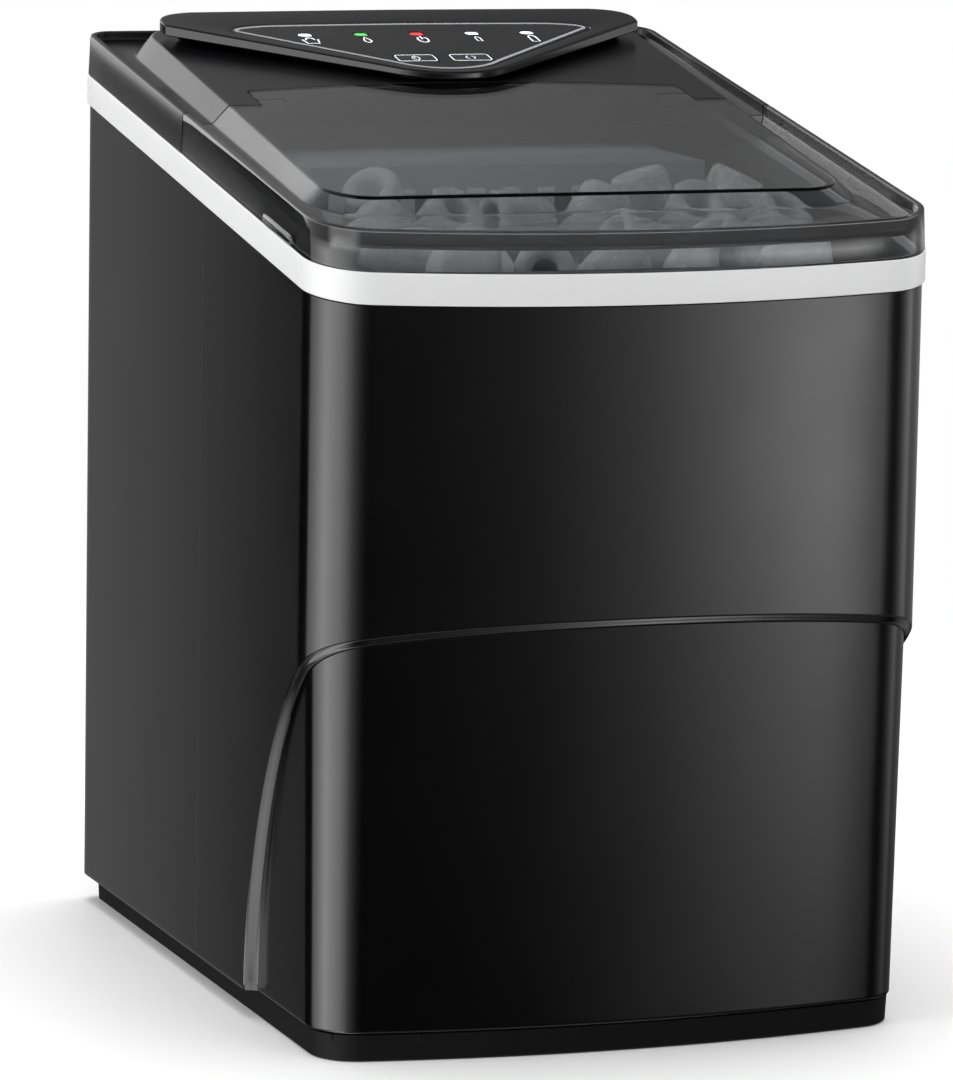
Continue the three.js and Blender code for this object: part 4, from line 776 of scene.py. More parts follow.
def add_lamp(name, spot, aim, size, power):
    data = bpy.data.lights.new(name, "AREA")
    data.shape, data.size, data.size_y, data.energy = "RECTANGLE", size[0], size[1], power
    lamp = add_object(name, data)
    lamp.location = spot
    lamp.rotation_euler = (Vector(aim) - Vector(spot)).to_track_quat("-Z", "Y").to_euler()
    lamp.visible_glossy = lamp.visible_camera = lamp.visible_transmission = False


def add_card():
    """A dim reflector behind the left side, brighter towards the middle, seen only in gloss."""
    left, right, back, low, high = -900, -60, 520, -400, 320
    corners = [(left, back, low), (right, back, low), (right, back, high), (left, back, high)]
    card = new_piece("dim_reflector", corners, [(0, 1, 2, 3)])
    work = Finish("dim_reflector", (0, 0, 0), 1.0)
    level = work.spread(work.split(work.coords)[0], 0.005, 0.33, -0.335, -0.225)
    work.show(work.add("ShaderNodeEmission", {"Strength": level}).outputs[0])
    card.data.materials.append(work.material)
    card.visible_camera = card.visible_diffuse = card.visible_shadow = card.visible_transmission = False


add_camera()
add_floor()
add_world()
add_card()
add_lamp("top_light", (0.1, 0.1, 1.4), (0, 0, 0.1), (1.2, 1.2), 22)
add_lamp("left_light", (-1.4, -0.2, 0.9), (0, 0, 0.2), (0.9, 1.1), 11)
add_lamp("front_light", (0.9, -1.5, 0.9), (0, 0, 0.2), (1.0, 1.0), 2.5)

# ---------------------------------------------------------------- housings


class Wall:
    """The housing's outer line in plan, measured along its length, with its outward directions."""

    def __init__(self, points):
        self.points = points
        steps = np.linalg.norm(np.diff(points, axis=0), axis=1)
        self.along = np.concatenate([[0], np.cumsum(steps)])
        tangent = np.gradient(points, axis=0)
        tangent /= np.linalg.norm(tangent, axis=1)[:, None]
        self.out = np.column_stack([tangent[:, 1], -tangent[:, 0]])
        self.length = self.along[-1]

    def at(self, s, depth):
        """Points at distances s, set in by depth."""
        x, y = (np.interp(s, self.along, self.points[:, i]) for i in (0, 1))
        nx, ny = (np.interp(s, self.along, self.out[:, i]) for i in (0, 1))
        return np.column_stack([x - nx * depth, y - ny * depth])

    def y(self, s):
        return np.interp(s, self.along, self.points[:, 1])

    def x(self, s):
        return np.interp(s, self.along, self.points[:, 0])


def straight(a, b, step=1.0):
    count = max(2, int(np.hypot(*(np.array(b) - np.array(a))) / step))
    return np.vstack([[a], between(a, b, count), [b]])


def front_wall_line():
    centre, radius, x, y, corner, swing = front_bow(HOUSING_INSET)
    side, seam = WIDTH / 2 - HOUSING_INSET, SEAM_Y - SEAM_GAP / 2
    left = arc(-x, y, corner, 2 * QUARTER, 3 * QUARTER - swing, 60)
    bow = arc(0, centre, radius, 3 * QUARTER - swing, 3 * QUARTER + swing, 240)
    right = arc(x, y, corner, -QUARTER + swing, 0, 60)
    return Wall(np.vstack([straight((-side, seam), left[0])[:-1], left[:-1], bow[:-1], right[:-1],
                           straight(right[-1], (side, seam))]))


def rear_wall_line():
    radius = BACK_CORNER - HOUSING_INSET
    x, y = WIDTH / 2 - BACK_CORNER, BACK_Y - BACK_CORNER
    side, seam = WIDTH / 2 - HOUSING_INSET, SEAM_Y + SEAM_GAP / 2
    right, left = arc(x, y, radius, 0, QUARTER, 24), arc(-x, y, radius, QUARTER, 2 * QUARTER, 24)
    return Wall(np.vstack([straight((side, seam), right[0])[:-1], right[:-1],
                           straight(right[-1], left[0])[:-1], left[:-1], straight(left[-1], (-side, seam))]))


EDGE = 0.5  # rounding of the housings' lower edges
SEAM_EDGE = 0.12  # rounding where the housings meet
EDGE_STEPS = np.array([0, 0.08, 0.22, 0.5, 1.2])  # distances from an edge that make its rounding
FOOT_SHARES = [0, 0.0003, 0.0008, 0.0019, 0.006]  # the same, as shares of a wall's height


def ease(distance, edge=EDGE):
    """How far a rounded edge lies behind its face, at a distance from the end."""
    gap = np.clip(edge - distance, 0, edge)
    return edge - np.sqrt(edge ** 2 - gap ** 2)


def arch_height(wall, s):
    t = np.clip((wall.y(s) - FRONT_Y) / ARCH_REACH, 0, 1)
    top = ARCH_HEIGHT - ARCH_CROWN * (2 * wall.x(s) / WIDTH) ** 2
    return FOOT_HEIGHT + top * (1 - t ** ARCH_POWER) ** (1 / ARCH_POWER)


def arch_depth(z):
    return ARCH_DEPTH + ARCH_TAPER * (FOOT_HEIGHT + ARCH_HEIGHT - z) / ARCH_HEIGHT


def grid_faces(rows, columns, start):
    return [(start + r * columns + c, start + r * columns + c + 1,
             start + (r + 1) * columns + c + 1, start + (r + 1) * columns + c)
            for r in range(rows - 1) for c in range(columns - 1)]


SAME_POINT = 0.02  # points of a wall closer than this are one


def thick_shell(name, wall, patches, material):
    """Two skins and the rims between them, from patches of distance, height, depth and inner depth."""
    skin, inside, faces = [], [], []
    for s, z, depth, core in patches:
        start = sum(len(p) for p in skin)
        rows, columns = s.shape
        for store, d in ((skin, depth), (inside, core + WALL)):
            plan = wall.at(s.ravel(), d.ravel())
            store.append(np.column_stack([plan, z.ravel()]))
        faces += grid_faces(rows, columns, start)
    skin, inside, faces = np.vstack(skin), np.vstack(inside), np.array(faces)
    cells = np.round(skin / SAME_POINT).astype(int)
    _, first, back = np.unique(cells, axis=0, return_index=True, return_inverse=True)
    skin, inside, faces = skin[first], inside[first], back.ravel()[faces]
    clean = []
    for face in faces:
        corners = [int(v) for i, v in enumerate(face) if v != face[i - 1]]
        if len(corners) > 2:
            clean.append(tuple(corners))
    edges = dict.fromkeys((a, b) for face in clean for a, b in zip(face, face[1:] + face[:1]))
    count = len(skin)
    rims = [(b, a, a + count, b + count) for a, b in edges if (b, a) not in edges]
    inner = [tuple(v + count for v in face[::-1]) for face in clean]
    return new_piece(name, np.vstack([skin, inside]), clean + inner + rims, material)


def end_steps(length, count):
    """Distances along a run with a rounded edge at each end."""
    fine = EDGE_STEPS * SEAM_EDGE / EDGE
    middle = np.linspace(fine[-1], length - fine[-1], count + 2)[1:-1]
    return np.concatenate([fine, middle, (length - fine)[::-1]])


def start_steps(length, count):
    """The same for a run that goes on past its far end."""
    return end_steps(length, count)[:-len(EDGE_STEPS)]


def plain_patch(wall, s, low, shares):
    """The plain part of a wall from a line up to the band, with rounded foot and ends."""
    top = band_z(wall.y(s)) - BAND_HEIGHT - SEAM_GAP
    along = np.tile(s, (len(shares), 1))
    height = low + (top - low) * np.array(shares)[:, None]
    depth = np.maximum(ease(height - FOOT_HEIGHT), ease(np.minimum(along, wall.length - along), SEAM_EDGE))
    return along, height, depth, 0 * depth


def front_shell():
    wall = front_wall_line()
    reach_y = FRONT_Y + ARCH_REACH
    dense = wall.along[wall.y(wall.along) < reach_y - 1e-6]
    turn = np.linspace(0, 0.9, 60)[1:]
    side_y = FRONT_Y + ARCH_REACH * np.cos(turn) ** (2 / ARCH_POWER)
    left_s, start_s = (SEAM_Y - SEAM_GAP / 2) - side_y, (SEAM_Y - SEAM_GAP / 2) - reach_y
    ends = np.concatenate([[start_s], left_s, wall.length - left_s, [wall.length - start_s]])
    s = np.unique(np.concatenate([dense[(dense > left_s[-1]) & (dense < wall.length - left_s[-1])], ends]))
    z = arch_height(wall, s)
    z[0] = z[-1] = FOOT_HEIGHT
    path = np.concatenate([[0], np.cumsum(np.hypot(np.diff(s), np.diff(z)))])
    even = np.linspace(0, path[-1], 260)
    s, z = np.interp(even, path, s), np.interp(even, path, z)
    ds, dz = np.gradient(s), np.gradient(z)
    size = np.hypot(ds, dz)
    ns, nz = dz / size, -ds / size
    ns[0], nz[0], ns[-1], nz[-1] = 1, 0, -1, 0

    def line(shift):
        """The arch line moved into the recess along the surface."""
        return s + ns * shift, np.maximum(z + nz * shift, FOOT_HEIGHT)

    crisp = 0.3  # rounding along the arch
    deep = arch_depth(line(ARCH_BEVEL + crisp)[1])
    outer_s, outer_z = line(-crisp)
    left_end = start_steps(outer_s[0], 16)
    foot = np.full(len(left_end), FOOT_HEIGHT)
    full_s = np.concatenate([left_end, outer_s, (wall.length - left_end)[::-1]])
    full_z = np.concatenate([foot, outer_z, foot])
    patches = [plain_patch(wall, full_s, full_z, FOOT_SHARES + [0.03, 0.12, 0.3, 0.5, 0.7, 0.88, 1.0])]

    rows = [(outer_s, outer_z, ease(outer_z - FOOT_HEIGHT))]
    share = crisp / ARCH_BEVEL
    for shift, depth in ((crisp, deep * share), (ARCH_BEVEL / 2, deep / 2),
                         (ARCH_BEVEL - crisp, deep * (1 - share)), (ARCH_BEVEL + crisp, deep)):
        ring_s, ring_z = line(shift)
        rows.append((ring_s, ring_z, depth + ease(ring_z - FOOT_HEIGHT)))
    along, height, depth = (np.array([row[i] for row in rows]) for i in range(3))
    patches.append((along, height, depth, depth))

    inner_s, inner_z = line(ARCH_BEVEL + crisp)
    rises = [FOOT_HEIGHT + r + 0 * inner_z for r in EDGE_STEPS]
    rises += [FOOT_HEIGHT + 1.2 + (inner_z - 2.4 - FOOT_HEIGHT) * share
              for share in (0.1, 0.3, 0.5, 0.7, 0.9, 1.0)]
    rises += [inner_z - 0.6, inner_z - 0.25, inner_z]
    height = np.array([np.clip(row, FOOT_HEIGHT, inner_z) for row in rises])
    depth = arch_depth(height) + ease(height - FOOT_HEIGHT)
    patches.append((np.tile(inner_s, (len(height), 1)), height, depth, depth))
    shell = thick_shell("front_shell", wall, patches, FINISHES["black_gloss"])
    _, spout_y, spout_z = middle_mm("drain_spout")
    carve(shell, rod("x", SPOUT_BORE, (98, spout_y, spout_z), 30, 40, 0))
    place(shell, "casing", "front_housing", slot="black_gloss")


def capsule(half, radius, sides=6):
    """A rounded slot's plan, as (across, up)."""
    return np.vstack([arc(half - radius, 0, radius, -QUARTER, QUARTER, sides),
                      arc(radius - half, 0, radius, QUARTER, 3 * QUARTER, sides)])


SLOT_RADIUS, SLOT_PITCH = 1.8, 8
OUTLET_HALF, INLET_HALF, FAN_HALF = 47, 75, 56  # half lengths of the slots and half the fan's height


def cut_slots(shell, half, low, count, map_point):
    """Cuts rows of round-ended slots, with a small lead-in at the outer face, up from a height."""
    rings = []
    for depth, grow in ((-6, 0), (-0.6, 0), (0, 0.5), (0.6, 1.2)):
        plan = capsule(half + grow, SLOT_RADIUS + grow)
        rings.append(np.array([map_point(across, up, depth) for across, up in plan]))
    cutter = new_piece("slots", *loft(rings))
    cutter.data.transform(Matrix.Translation((0, 0, (low + SLOT_RADIUS) / 1000)))
    run_tree(cutter, COPIES, {"Count": count, "Step": [0, 0, SLOT_PITCH / 1000],
                              "Finish": FINISHES["black_gloss"]})
    cut(shell, cutter)


def back_bores(names, radius, y, sides):
    """Bores on pieces of the frame, from y towards the back."""
    return [rod("y", radius, (x, y, z), 20, sides, 0) for x, _, z in map(middle_mm, names)]


def rear_shell():
    wall = rear_wall_line()
    side = BACK_Y - BACK_CORNER - SEAM_Y - SEAM_GAP / 2
    heel = (BACK_CORNER - HOUSING_INSET) * QUARTER
    back = side + heel + WIDTH - 2 * BACK_CORNER
    ends = start_steps(side, 8)
    s = np.concatenate([
        ends, [side - 2], np.linspace(side, side + heel, 11), [side + heel + 2],
        np.linspace(side + heel, back, 10)[1:-1], [back - 2],
        np.linspace(back, back + heel, 11), [back + heel + 2], wall.length - ends[::-1]])
    s = np.clip(s, 0, wall.length)
    patch = plain_patch(wall, s, FOOT_HEIGHT, FOOT_SHARES + [0.1, 0.3, 0.5, 0.7, 0.9, 1.0])
    shell = thick_shell("rear_shell", wall, [patch], FINISHES["black_gloss"])
    face_x, face_y = WIDTH / 2 - HOUSING_INSET, BACK_Y - HOUSING_INSET
    fan_y, fan_z = middle_mm("fan_frame")[1], box_mm("fan_frame")[1][2] - FAN_HALF
    cut_slots(shell, OUTLET_HALF, fan_z - 45.8, 12, lambda a, u, d: (face_x + d, fan_y + a, u))
    cut_slots(shell, INLET_HALF, fan_z - 23.8, 14, lambda a, u, d: (-a, face_y + d, u))
    carve(shell, *back_bores(["cord_gland"], GLAND_BORE, face_y - 8, 32),
          *back_bores(REAR_SCREWS, SCREW_BORE, face_y - 8, 16))
    place(shell, "casing", "rear_housing", slot="black_gloss")


BOSS_BACK_Y = BACK_Y - 4.3  # the back face of the bosses that the rear screws go into


def boss_plan(x, length):
    return rounded(x - 6, x + 6, BOSS_BACK_Y - length, BOSS_BACK_Y, 0.6, 2)


def base_plinth():
    """The dark foot skirt and floor plate, with nibs under its front edge and screw bosses at the back; the
    skirt's foot reaches out and down almost to the floor, partly the real base and partly a dark band that
    stands in for the contact shadow.
    """
    matt = FINISHES["matt_base"]
    # the rows near the floor carry the skirt's foot out and down, a dark band standing in for the contact
    # shadow
    profile = [(12.6, 4.4), (12.0, 4.2), (11.6, 0.5), (11.0, 0.1), (7.2, 0.1), (6.6, 0.6), (6.2, 8.9),
               (6.2, 9.3), (6.6, 9.6), (9.0, 9.6), (9.0, 12.5), (9.3, 12.8)]
    rings = [raise_plan(casing_plan(inset), z) for inset, z in profile]
    plinth = new_piece("base_plinth", *loft(rings), matt)
    lower = REAR_SCREWS[:2]
    bosses = [block(boss_plan(x, 12), (11, z + 6)) for x, _, z in map(middle_mm, lower)]
    carve(plinth, *bosses, operation="UNION")
    carve(plinth, *back_bores(lower, SCREW_BORE, BOSS_BACK_Y - 9, 16))
    nib = new_piece("nib", *loft([raise_plan(rounded(-0.5, 0.5, y - 1.0, y + 1.6, 0.2, 2), z)
                                  for y, z in ((1.9, 1.6), (0.4, 9.2))]))
    rows = [(-72.7, bow_y(-72.7) + 6.3, 0, 0, 0, -8), (39, bow_y(39) + 6.3, 0, 0, 0, 4.3),
            (-101, -126, 0, 0, 0, -46)]
    place(on_points("plinth_nibs", nib, rows, matt), "casing", slot="black_satin")
    place(plinth, "casing", "base_plate", slot="black_satin")


UPPER_BOSSES = (26 - WIDTH / 2, WIDTH / 2 - 26)


def white_band():
    foot = -BAND_HEIGHT
    profile = [(9, foot), (0.8, foot), (0.3, foot + 0.1), (0.08, foot + 0.35), (0, foot + 0.8), (0, -1.05),
               (0.03, -0.82), (0.12, -0.65), (0.3, -0.6), (3.6, -0.6), (4, -1), (4, -6), (9, -6)]
    rings = raised((casing_plan, band_z, profile))
    band = new_piece("white_band", *loft(rings, round_trip=True), FINISHES["white_satin"])
    y = BACK_Y - 4
    carve(band, *(block(rounded(x - 6.3, x + 6.3, y - 8, y, 0.4, 1), (280, 320)) for x in UPPER_BOSSES))
    place(band, "casing", "trim_band", slot="white_satin")


def lid_gasket():
    """A thin black seal on the band, under the foot of the lid and cover."""
    profile = ((0.5, -0.59), (0.5, -0.54), (0.6, -0.48), (2.7, -0.48), (2.8, -0.54), (2.8, -0.59))
    rings = raised((casing_plan, band_z, profile))
    gasket = new_piece("lid_gasket", *loft(rings, round_trip=True), FINISHES["rubber_black"])
    place(gasket, "casing", slot="rubber_black")


# ---------------------------------------------------------------- lid and top cover


def cap_rings():
    """The cap that lid and cover are cut from, from the dome's top out, down and back up inside."""
    return raised(
        (dome_plan, dome_z, [(9, 0), (6.7, 0), (6.2, -0.04), (5.7, -0.3)]),
        (dome_plan, channel_z, [(0.4, 0.38), (0.0, 0.12), (-0.6, 0)]),
        (casing_plan, channel_z, [(4.1, 0), (3.65, 0.1), (3.42, 0.5)]),
        (casing_plan, rim_z, [(3.4, -0.6), (3.25, -0.16), (2.9, 0), (1.45, 0), (1.06, -0.14), (0.9, -0.55)]),
        (casing_plan, band_z, [(0.3, -0.1), (0.35, -0.3), (0.6, -0.4), (0.3 + CAP_WALL, -0.4)]),
        (casing_plan, rim_z, [(1.7, -1), (2.5, -1)]),
        (casing_plan, channel_z, [(2.7, -CAP_WALL)]),
        (dome_plan, channel_z, [(CAP_WALL / 3, -CAP_WALL)]),
        (dome_plan, dome_z, [(6 + CAP_WALL / 3, -CAP_WALL), (9, -CAP_WALL)]),
    )


def seam_line(clearance):
    """The line between lid and cover, which goes back round the lid's bowed tongue."""
    tongue = TONGUE_HALF_WIDTH + clearance / 2
    y = LID_SEAM_Y + clearance
    rear = y + TONGUE_LENGTH
    across = np.linspace(-1, 1, 41)[1:-1]
    bow = np.column_stack([across * tongue, rear + TONGUE_BOW * (1 - across ** 2)])
    ease_in = 1.2
    left = [(-FAR, y), (-tongue - ease_in, y), (-tongue - 0.35, y + 0.35), (-tongue, y + ease_in),
            (-tongue, rear - ease_in), (-tongue + 0.35, rear - 0.2), (-tongue + ease_in, rear + 0.35)]
    right = [(-x, v) for x, v in left][::-1]
    keep = np.abs(bow[:, 0]) < tongue - 2
    return np.vstack([left, bow[keep], right])


def knuckle_bodies(radius, inner, outer, edge=0.3):
    _, y, z = middle_mm("lid_pin_left")
    return [rod("x", radius, (x, y, z), outer - inner, 24, edge) for x in (inner, -outer)]


def keep_region(piece, seam, far_y, top):
    """Keeps the part of the cap between its seam and a far line."""
    plan = np.vstack([[(FAR, far_y), (-FAR, far_y)], seam])
    carve(piece, block(plan if far_y < 0 else plan[::-1], (200, top)), operation="INTERSECT")


def finger_grip(side):
    """A low ridge on one side of the lid's skirt."""
    x = WIDTH / 2 - 0.9
    rings = []
    for y, out in ((-104.4, 0), (-103.6, 1.0), (-102.2, 1.3), (-75.6, 1.3), (-74.2, 1.0), (-73.4, 0)):
        section = [(x - 0.6, 0.4), (x + out - 0.3, 0.35), (x + out, 0.7), (x + out, 2.3),
                   (x + out - 0.35, 2.9), (x - 0.6, 3.4)]
        rings.append(np.array([(side * a, y, band_z(y) + h) for a, h in section]))
    return loft(rings)


def smoky_lid():
    lid = new_piece("clear_lid", *loft(cap_rings()), FINISHES["smoke_clear"])
    keep_region(lid, seam_line(0), -FAR, 400)
    carve(lid, finger_grip(-1), finger_grip(1), operation="UNION")
    carve(lid, *knuckle_bodies(2.7, 70.5, 81.5), operation="UNION")
    carve(lid, *knuckle_bodies(PIN_BORE, 71.5, 90, 0))
    place(lid, "lid", "lid", slot="smoke_clear")


def hinge_lug(start):
    """A lug under the cover that holds a hinge pin, from a distance to the right."""
    y = middle_mm("lid_pin_left")[1]
    rings = []
    for x, inset in ((start, 0.4), (start + 0.4, 0), (start + 3.6, 0), (start + 4, 0.4)):
        a, b = 4.5 - inset, 8.7 - inset
        section = [(-a, -0.9), (-a, -b + 2.5), (-a + 0.8, -b + 0.8), (-a + 2.5, -b), (a - 2.5, -b),
                   (a - 0.8, -b + 0.8), (a, -b + 2.5), (a, -0.9)]
        rings.append(np.array([(x, y + across, dome_z(y + across) + up) for across, up in section]))
    return loft(rings)


def hard_cover():
    cover = new_piece("hard_cover", *loft(cap_rings()), FINISHES["cover_black"])
    keep_region(cover, seam_line(LID_GAP), FAR, 420)
    carve(cover, block(panel_plan(1), (250, 400)))
    carve(cover, hinge_lug(81.9), hinge_lug(-85.9), operation="UNION")
    carve(cover, *knuckle_bodies(PIN_BORE, 78, 84.9, 0))
    bosses = [block(boss_plan(x, 6), (above(band_z, -29), above(band_z, 10))) for x in UPPER_BOSSES]
    carve(cover, *bosses, operation="UNION")
    carve(cover, *back_bores(REAR_SCREWS[2:], SCREW_BORE, BOSS_BACK_Y - 9, 16))
    place(cover, "casing", "top_cover", slot="black_gloss")


# ---------------------------------------------------------------- control pod


LAMPS = ("lamp_ice_full", "lamp_add_water", "lamp_power", "lamp_small_ice", "lamp_large_ice")
KEYS = ("power_key", "select_key")


def plate_plan(name, length, depth, radius):
    """A rounded plate's plan on the middle of a piece of the frame."""
    x, y, _ = middle_mm(name)
    return lambda inset: rounded(x - length / 2 + inset, x + length / 2 - inset, y - depth / 2 + inset,
                                 y + depth / 2 - inset, max(radius - inset, 0.05), 4)


def panel_holes():
    plans = [plate_plan(name, 5.8, 4.6, 1.9) for name in LAMPS]
    plans += [plate_plan(name, 16.6, 9.2, 2.2) for name in KEYS]
    return [slab(plan, above(pod_z, -3.5), above(pod_z, 1)) for plan in plans]


def control_pod():
    rings = raised(
        (panel_plan, pod_z, [(3, -1.1), (-0.25, -1.1), (-0.3, -0.25), (-0.5, -0.05), (-1.1, 0)]),
        (pod_plan, pod_z, [(1.4, 0), (0.6, 0), (0.3, -0.06), (0.09, -0.24), (0, -0.5), (0, -0.56)]),
        (pod_plan, pod_edge_z, [(0, 0.56), (0, 0.5), (0.2, 0.1), (0.6, 0), (3.4, 0)]),
        (pod_plan, dome_z, [(6.2, 0.3), (7, 0.3)]),
        (pod_plan, pod_z, [(5.2, -2.2), (9, -2.2)]),
    )
    pod = new_piece("pod_body", *loft(rings), FINISHES["black_gloss"])
    carve(pod, *panel_holes())
    place(pod, "casing", "control_pod", slot="black_gloss")
    sheet = slab(panel_plan, above(pod_z, -0.8), pod_z, 0.15)
    film = new_piece("panel_film", *sheet, FINISHES["overlay_film"])
    carve(film, *panel_holes())
    place(film, "casing", "control_overlay", slot="overlay_film")


def ribbon(points, width, lift=0.02, closed=False):
    """A flat printed line of even width lying on the pod's top."""
    points = np.asarray(points, float)
    ahead = np.roll(points, -1, 0) if closed else np.vstack([points[1:], 2 * points[-1] - points[-2]])
    behind = np.roll(points, 1, 0) if closed else np.vstack([2 * points[0] - points[1], points[:-1]])
    tangent = ahead - behind
    tangent /= np.linalg.norm(tangent, axis=1)[:, None]
    side = np.column_stack([-tangent[:, 1], tangent[:, 0]]) * width / 2
    rows = [raise_plan(p, above(pod_z, h)) for p, h in ((points + side, 0.0), (points + side, lift),
                                                       (points - side, lift), (points - side, 0.0))]
    count = len(points)
    faces = ring_faces(4, count, True, closed)
    if not closed:
        faces.append((0, count, 2 * count, 3 * count))
        faces.append((count - 1, 4 * count - 1, 3 * count - 1, 2 * count - 1))
    return np.vstack(rows), faces


TALL = 1.7  # how much taller than wide the printed marks are drawn
MARK_DROP = 7.4  # how far in front of its lamp a mark lies

# The strokes of each printed mark, in units of its size: points, line width, and whether it is closed.
MARKS = {
    "power": [(arc(0, 0, 1, math.radians(125), math.radians(415), 20), 0.34, False),
              ([(0, 0.15), (0, 1.25)], 0.34, False)],
    "bullet": [([(0.62, -1), *arc(0, 0.3, 0.62, 0, math.pi, 12), (-0.62, -1)], 0.3, True)],
    "full_basket": [([(-1.5, 0.35), (-1.1, -1), (1.1, -1), (1.5, 0.35)], 0.34, False),
                    (arc(0, 0.1, 0.85, 0.15, math.pi - 0.15, 10), 0.34, False)],
    "drop": [([*arc(0, -0.25, 0.68, math.radians(-220), math.radians(40), 18), (0, 1.15)], 0.3, True)],
    "two_arrows": [([(0.6 * side, 0.8), (1.5 * side, 0), (0.6 * side, -0.8)], 0.32, False)
                   for side in (-1, 1)],
}


def mark(kind, node, size, drop=0.0):
    """The strokes of a mark on the middle of a piece of the frame, or some way in front of it."""
    x, y, _ = middle_mm(node)
    return [ribbon(np.array([x, y - drop]) + np.array(points) * size * (1, TALL), size * width, closed=closed)
            for points, width, closed in MARKS[kind]]


def printed_marks():
    ice_marks = (("full_basket", "lamp_ice_full", 2.0), ("bullet", "lamp_small_ice", 1.5),
                 ("bullet", "lamp_large_ice", 2.2))
    white = [stroke for row in ice_marks for stroke in mark(*row, MARK_DROP)]
    for name, bodies, ink in (
            ("marks_white", white, "white_ink"),
            ("mark_water", mark("drop", "lamp_add_water", 1.9, MARK_DROP), "white_ink"),
            ("mark_power", mark("power", "lamp_power", 1.9, MARK_DROP + 0.2), "white_ink"),
            ("panel_line", [ribbon(panel_plan(1.7), 1.4, closed=True)], "silver_ink")):
        place(new_piece(name, *several(*bodies), FINISHES[ink]), "casing", slot="overlay_film")


def lamps():
    lit = {"lamp_add_water": ((0.06, 0.42, 0.08), 0.85), "lamp_power": ((0.8, 0.03, 0.03), 0.9)}
    for name in LAMPS:
        top = float(np.ravel(pod_z(middle_mm(name)[1]))[0])
        glow = lamp_lens(name + "_glow", *lit.get(name, (LAMP_WHITE, 0.9)), top)
        shape = slab(plate_plan(name, 5.2, 4.0, 1.7), above(pod_z, -6.9), above(pod_z, -0.3), 0.3)
        place(new_piece(name + "_lens", *shape, glow.material), "casing", name, slot="lamp_lens")


def keys():
    for name, kind in zip(KEYS, ("power", "two_arrows")):
        plan = plate_plan(name, 16, 8.6, 2.0)
        shape = slab(plan, above(pod_z, -6.3), above(pod_z, 0.1), 0.25)
        place(new_piece(name + "_cap", *shape, FINISHES["key_film"]), name, name, slot="key_film")
        points, faces = ribbon(plan(0.7), 0.4, 0.13, closed=True)
        bodies = [(points + (0, 0, 0.02), faces)]
        bodies += [(points + (0, 0, 0.11), faces) for points, faces in mark(kind, name, 1.25)]
        place(new_piece(name + "_print", *several(*bodies), FINISHES["white_ink"]), name, slot="key_film")


# ---------------------------------------------------------------- ice


ICE_CREASE = 80  # only edges sharper than this show in the ice, in degrees


def ice_bullet():
    """A thimble of ice, closed and round at one end, hollow from the other, centred on its middle."""
    profile = [(0, -15), (5.5, -14.2), (9.2, -11.6), (11.2, -7), (11.7, 0), (11.9, 9), (11.6, 13.4),
               (10.2, 15), (7.2, 14.8), (5.6, 13.6), (4.9, 8), (4.3, -3), (2.6, -7), (0, -8.4)]
    rings = turned([(max(radius, 0.01), along) for radius, along in profile], 20)
    return new_piece("ice_bullet", *loft(rings), crease=ICE_CREASE)


# Where each bullet of ice lies, in millimetres, and its lean and turn, in degrees.
ICE_PLACES = [
    (-58.4, -38.7, 276.1, 40, -45), (41.6, -36.8, 275.6, 18, -99), (70.6, -37.1, 275.7, 25, 76),
    (70.2, -55.7, 275.6, 102, 72), (73, -74.4, 269.6, 36, 31), (-14.9, -62, 274.9, 84, -78),
    (12.4, -58, 272.7, 40, 108), (-69.1, -88.5, 265, 78, 84), (-52, -106.8, 262.9, 90, 69),
    (-21.9, -104.1, 262.8, 83, -18), (21.1, -84.6, 268.3, 69, -77), (34.7, -104.8, 261.9, 72, 32),
    (53.7, -86.5, 264.8, 45, -82), (68.2, -107.1, 262.4, 84, 72), (73.5, -92.3, 261.1, 21, -146),
    (-45.1, -64, 271.8, 44, 27), (-39.8, -88.7, 262.9, 48, -124), (0.2, -106.9, 260.6, 60, 111),
    (47.4, -60.7, 272.5, 45, 8), (-71.2, -68.7, 270.7, 52, 113), (-71.4, -105.1, 229.2, 75, 44),
    (-63.2, -83.6, 219.3, 92, -154), (-64.1, -59.7, 228.6, 152, -108), (-70.6, -38.1, 225, 65, -68),
    (-36.4, -105.5, 231.4, 139, 2), (-38.3, -82.5, 221, 67, 51), (-37.5, -58.4, 227.6, 124, -73),
    (-42.8, -37.9, 229.2, 102, 108), (-7.2, -107.4, 223, 156, 55), (-13.7, -83.8, 227, 41, -29),
    (-10.9, -58.8, 225.2, 54, 55), (-17.1, -40.9, 239.2, 98, 166), (13.1, -107.9, 237.1, 15, 115),
    (11.4, -81.3, 218.6, 111, -150), (13.5, -63, 233.8, 61, 9), (13.1, -37.6, 227.3, 94, 103),
    (37.3, -104.1, 228.8, 62, -166), (42.3, -79.5, 227.5, 68, -99), (31.6, -59.1, 221.7, 147, -51),
    (43.4, -37, 220.6, 43, -83), (62.8, -106.1, 226.5, 66, 124), (72.4, -80.4, 222.6, 129, 145),
    (58.6, -58.9, 224.5, 66, -109), (70.7, -39.6, 226.4, 100, 47), (-63.7, -37.5, 249.8, 12, 159),
    (-39.1, -40, 250.5, 86, -62), (-12.4, -38.2, 261.9, 143, -127), (16.1, -40, 250.8, 136, 58),
    (40.9, -40.3, 247.6, 124, -178), (65.1, -40.3, 248.5, 91, 142),
]


def ice_heap():
    rows = [(x, y, z, lean, 0, turn) for x, y, z, lean, turn in ICE_PLACES]
    heap = on_points("ice_heap", ice_bullet(), rows, ice_finish(), (0.85, 0.9), ICE_CREASE)
    place(heap, "basket", slot="basket_grey")


# ---------------------------------------------------------------- inside parts and fittings


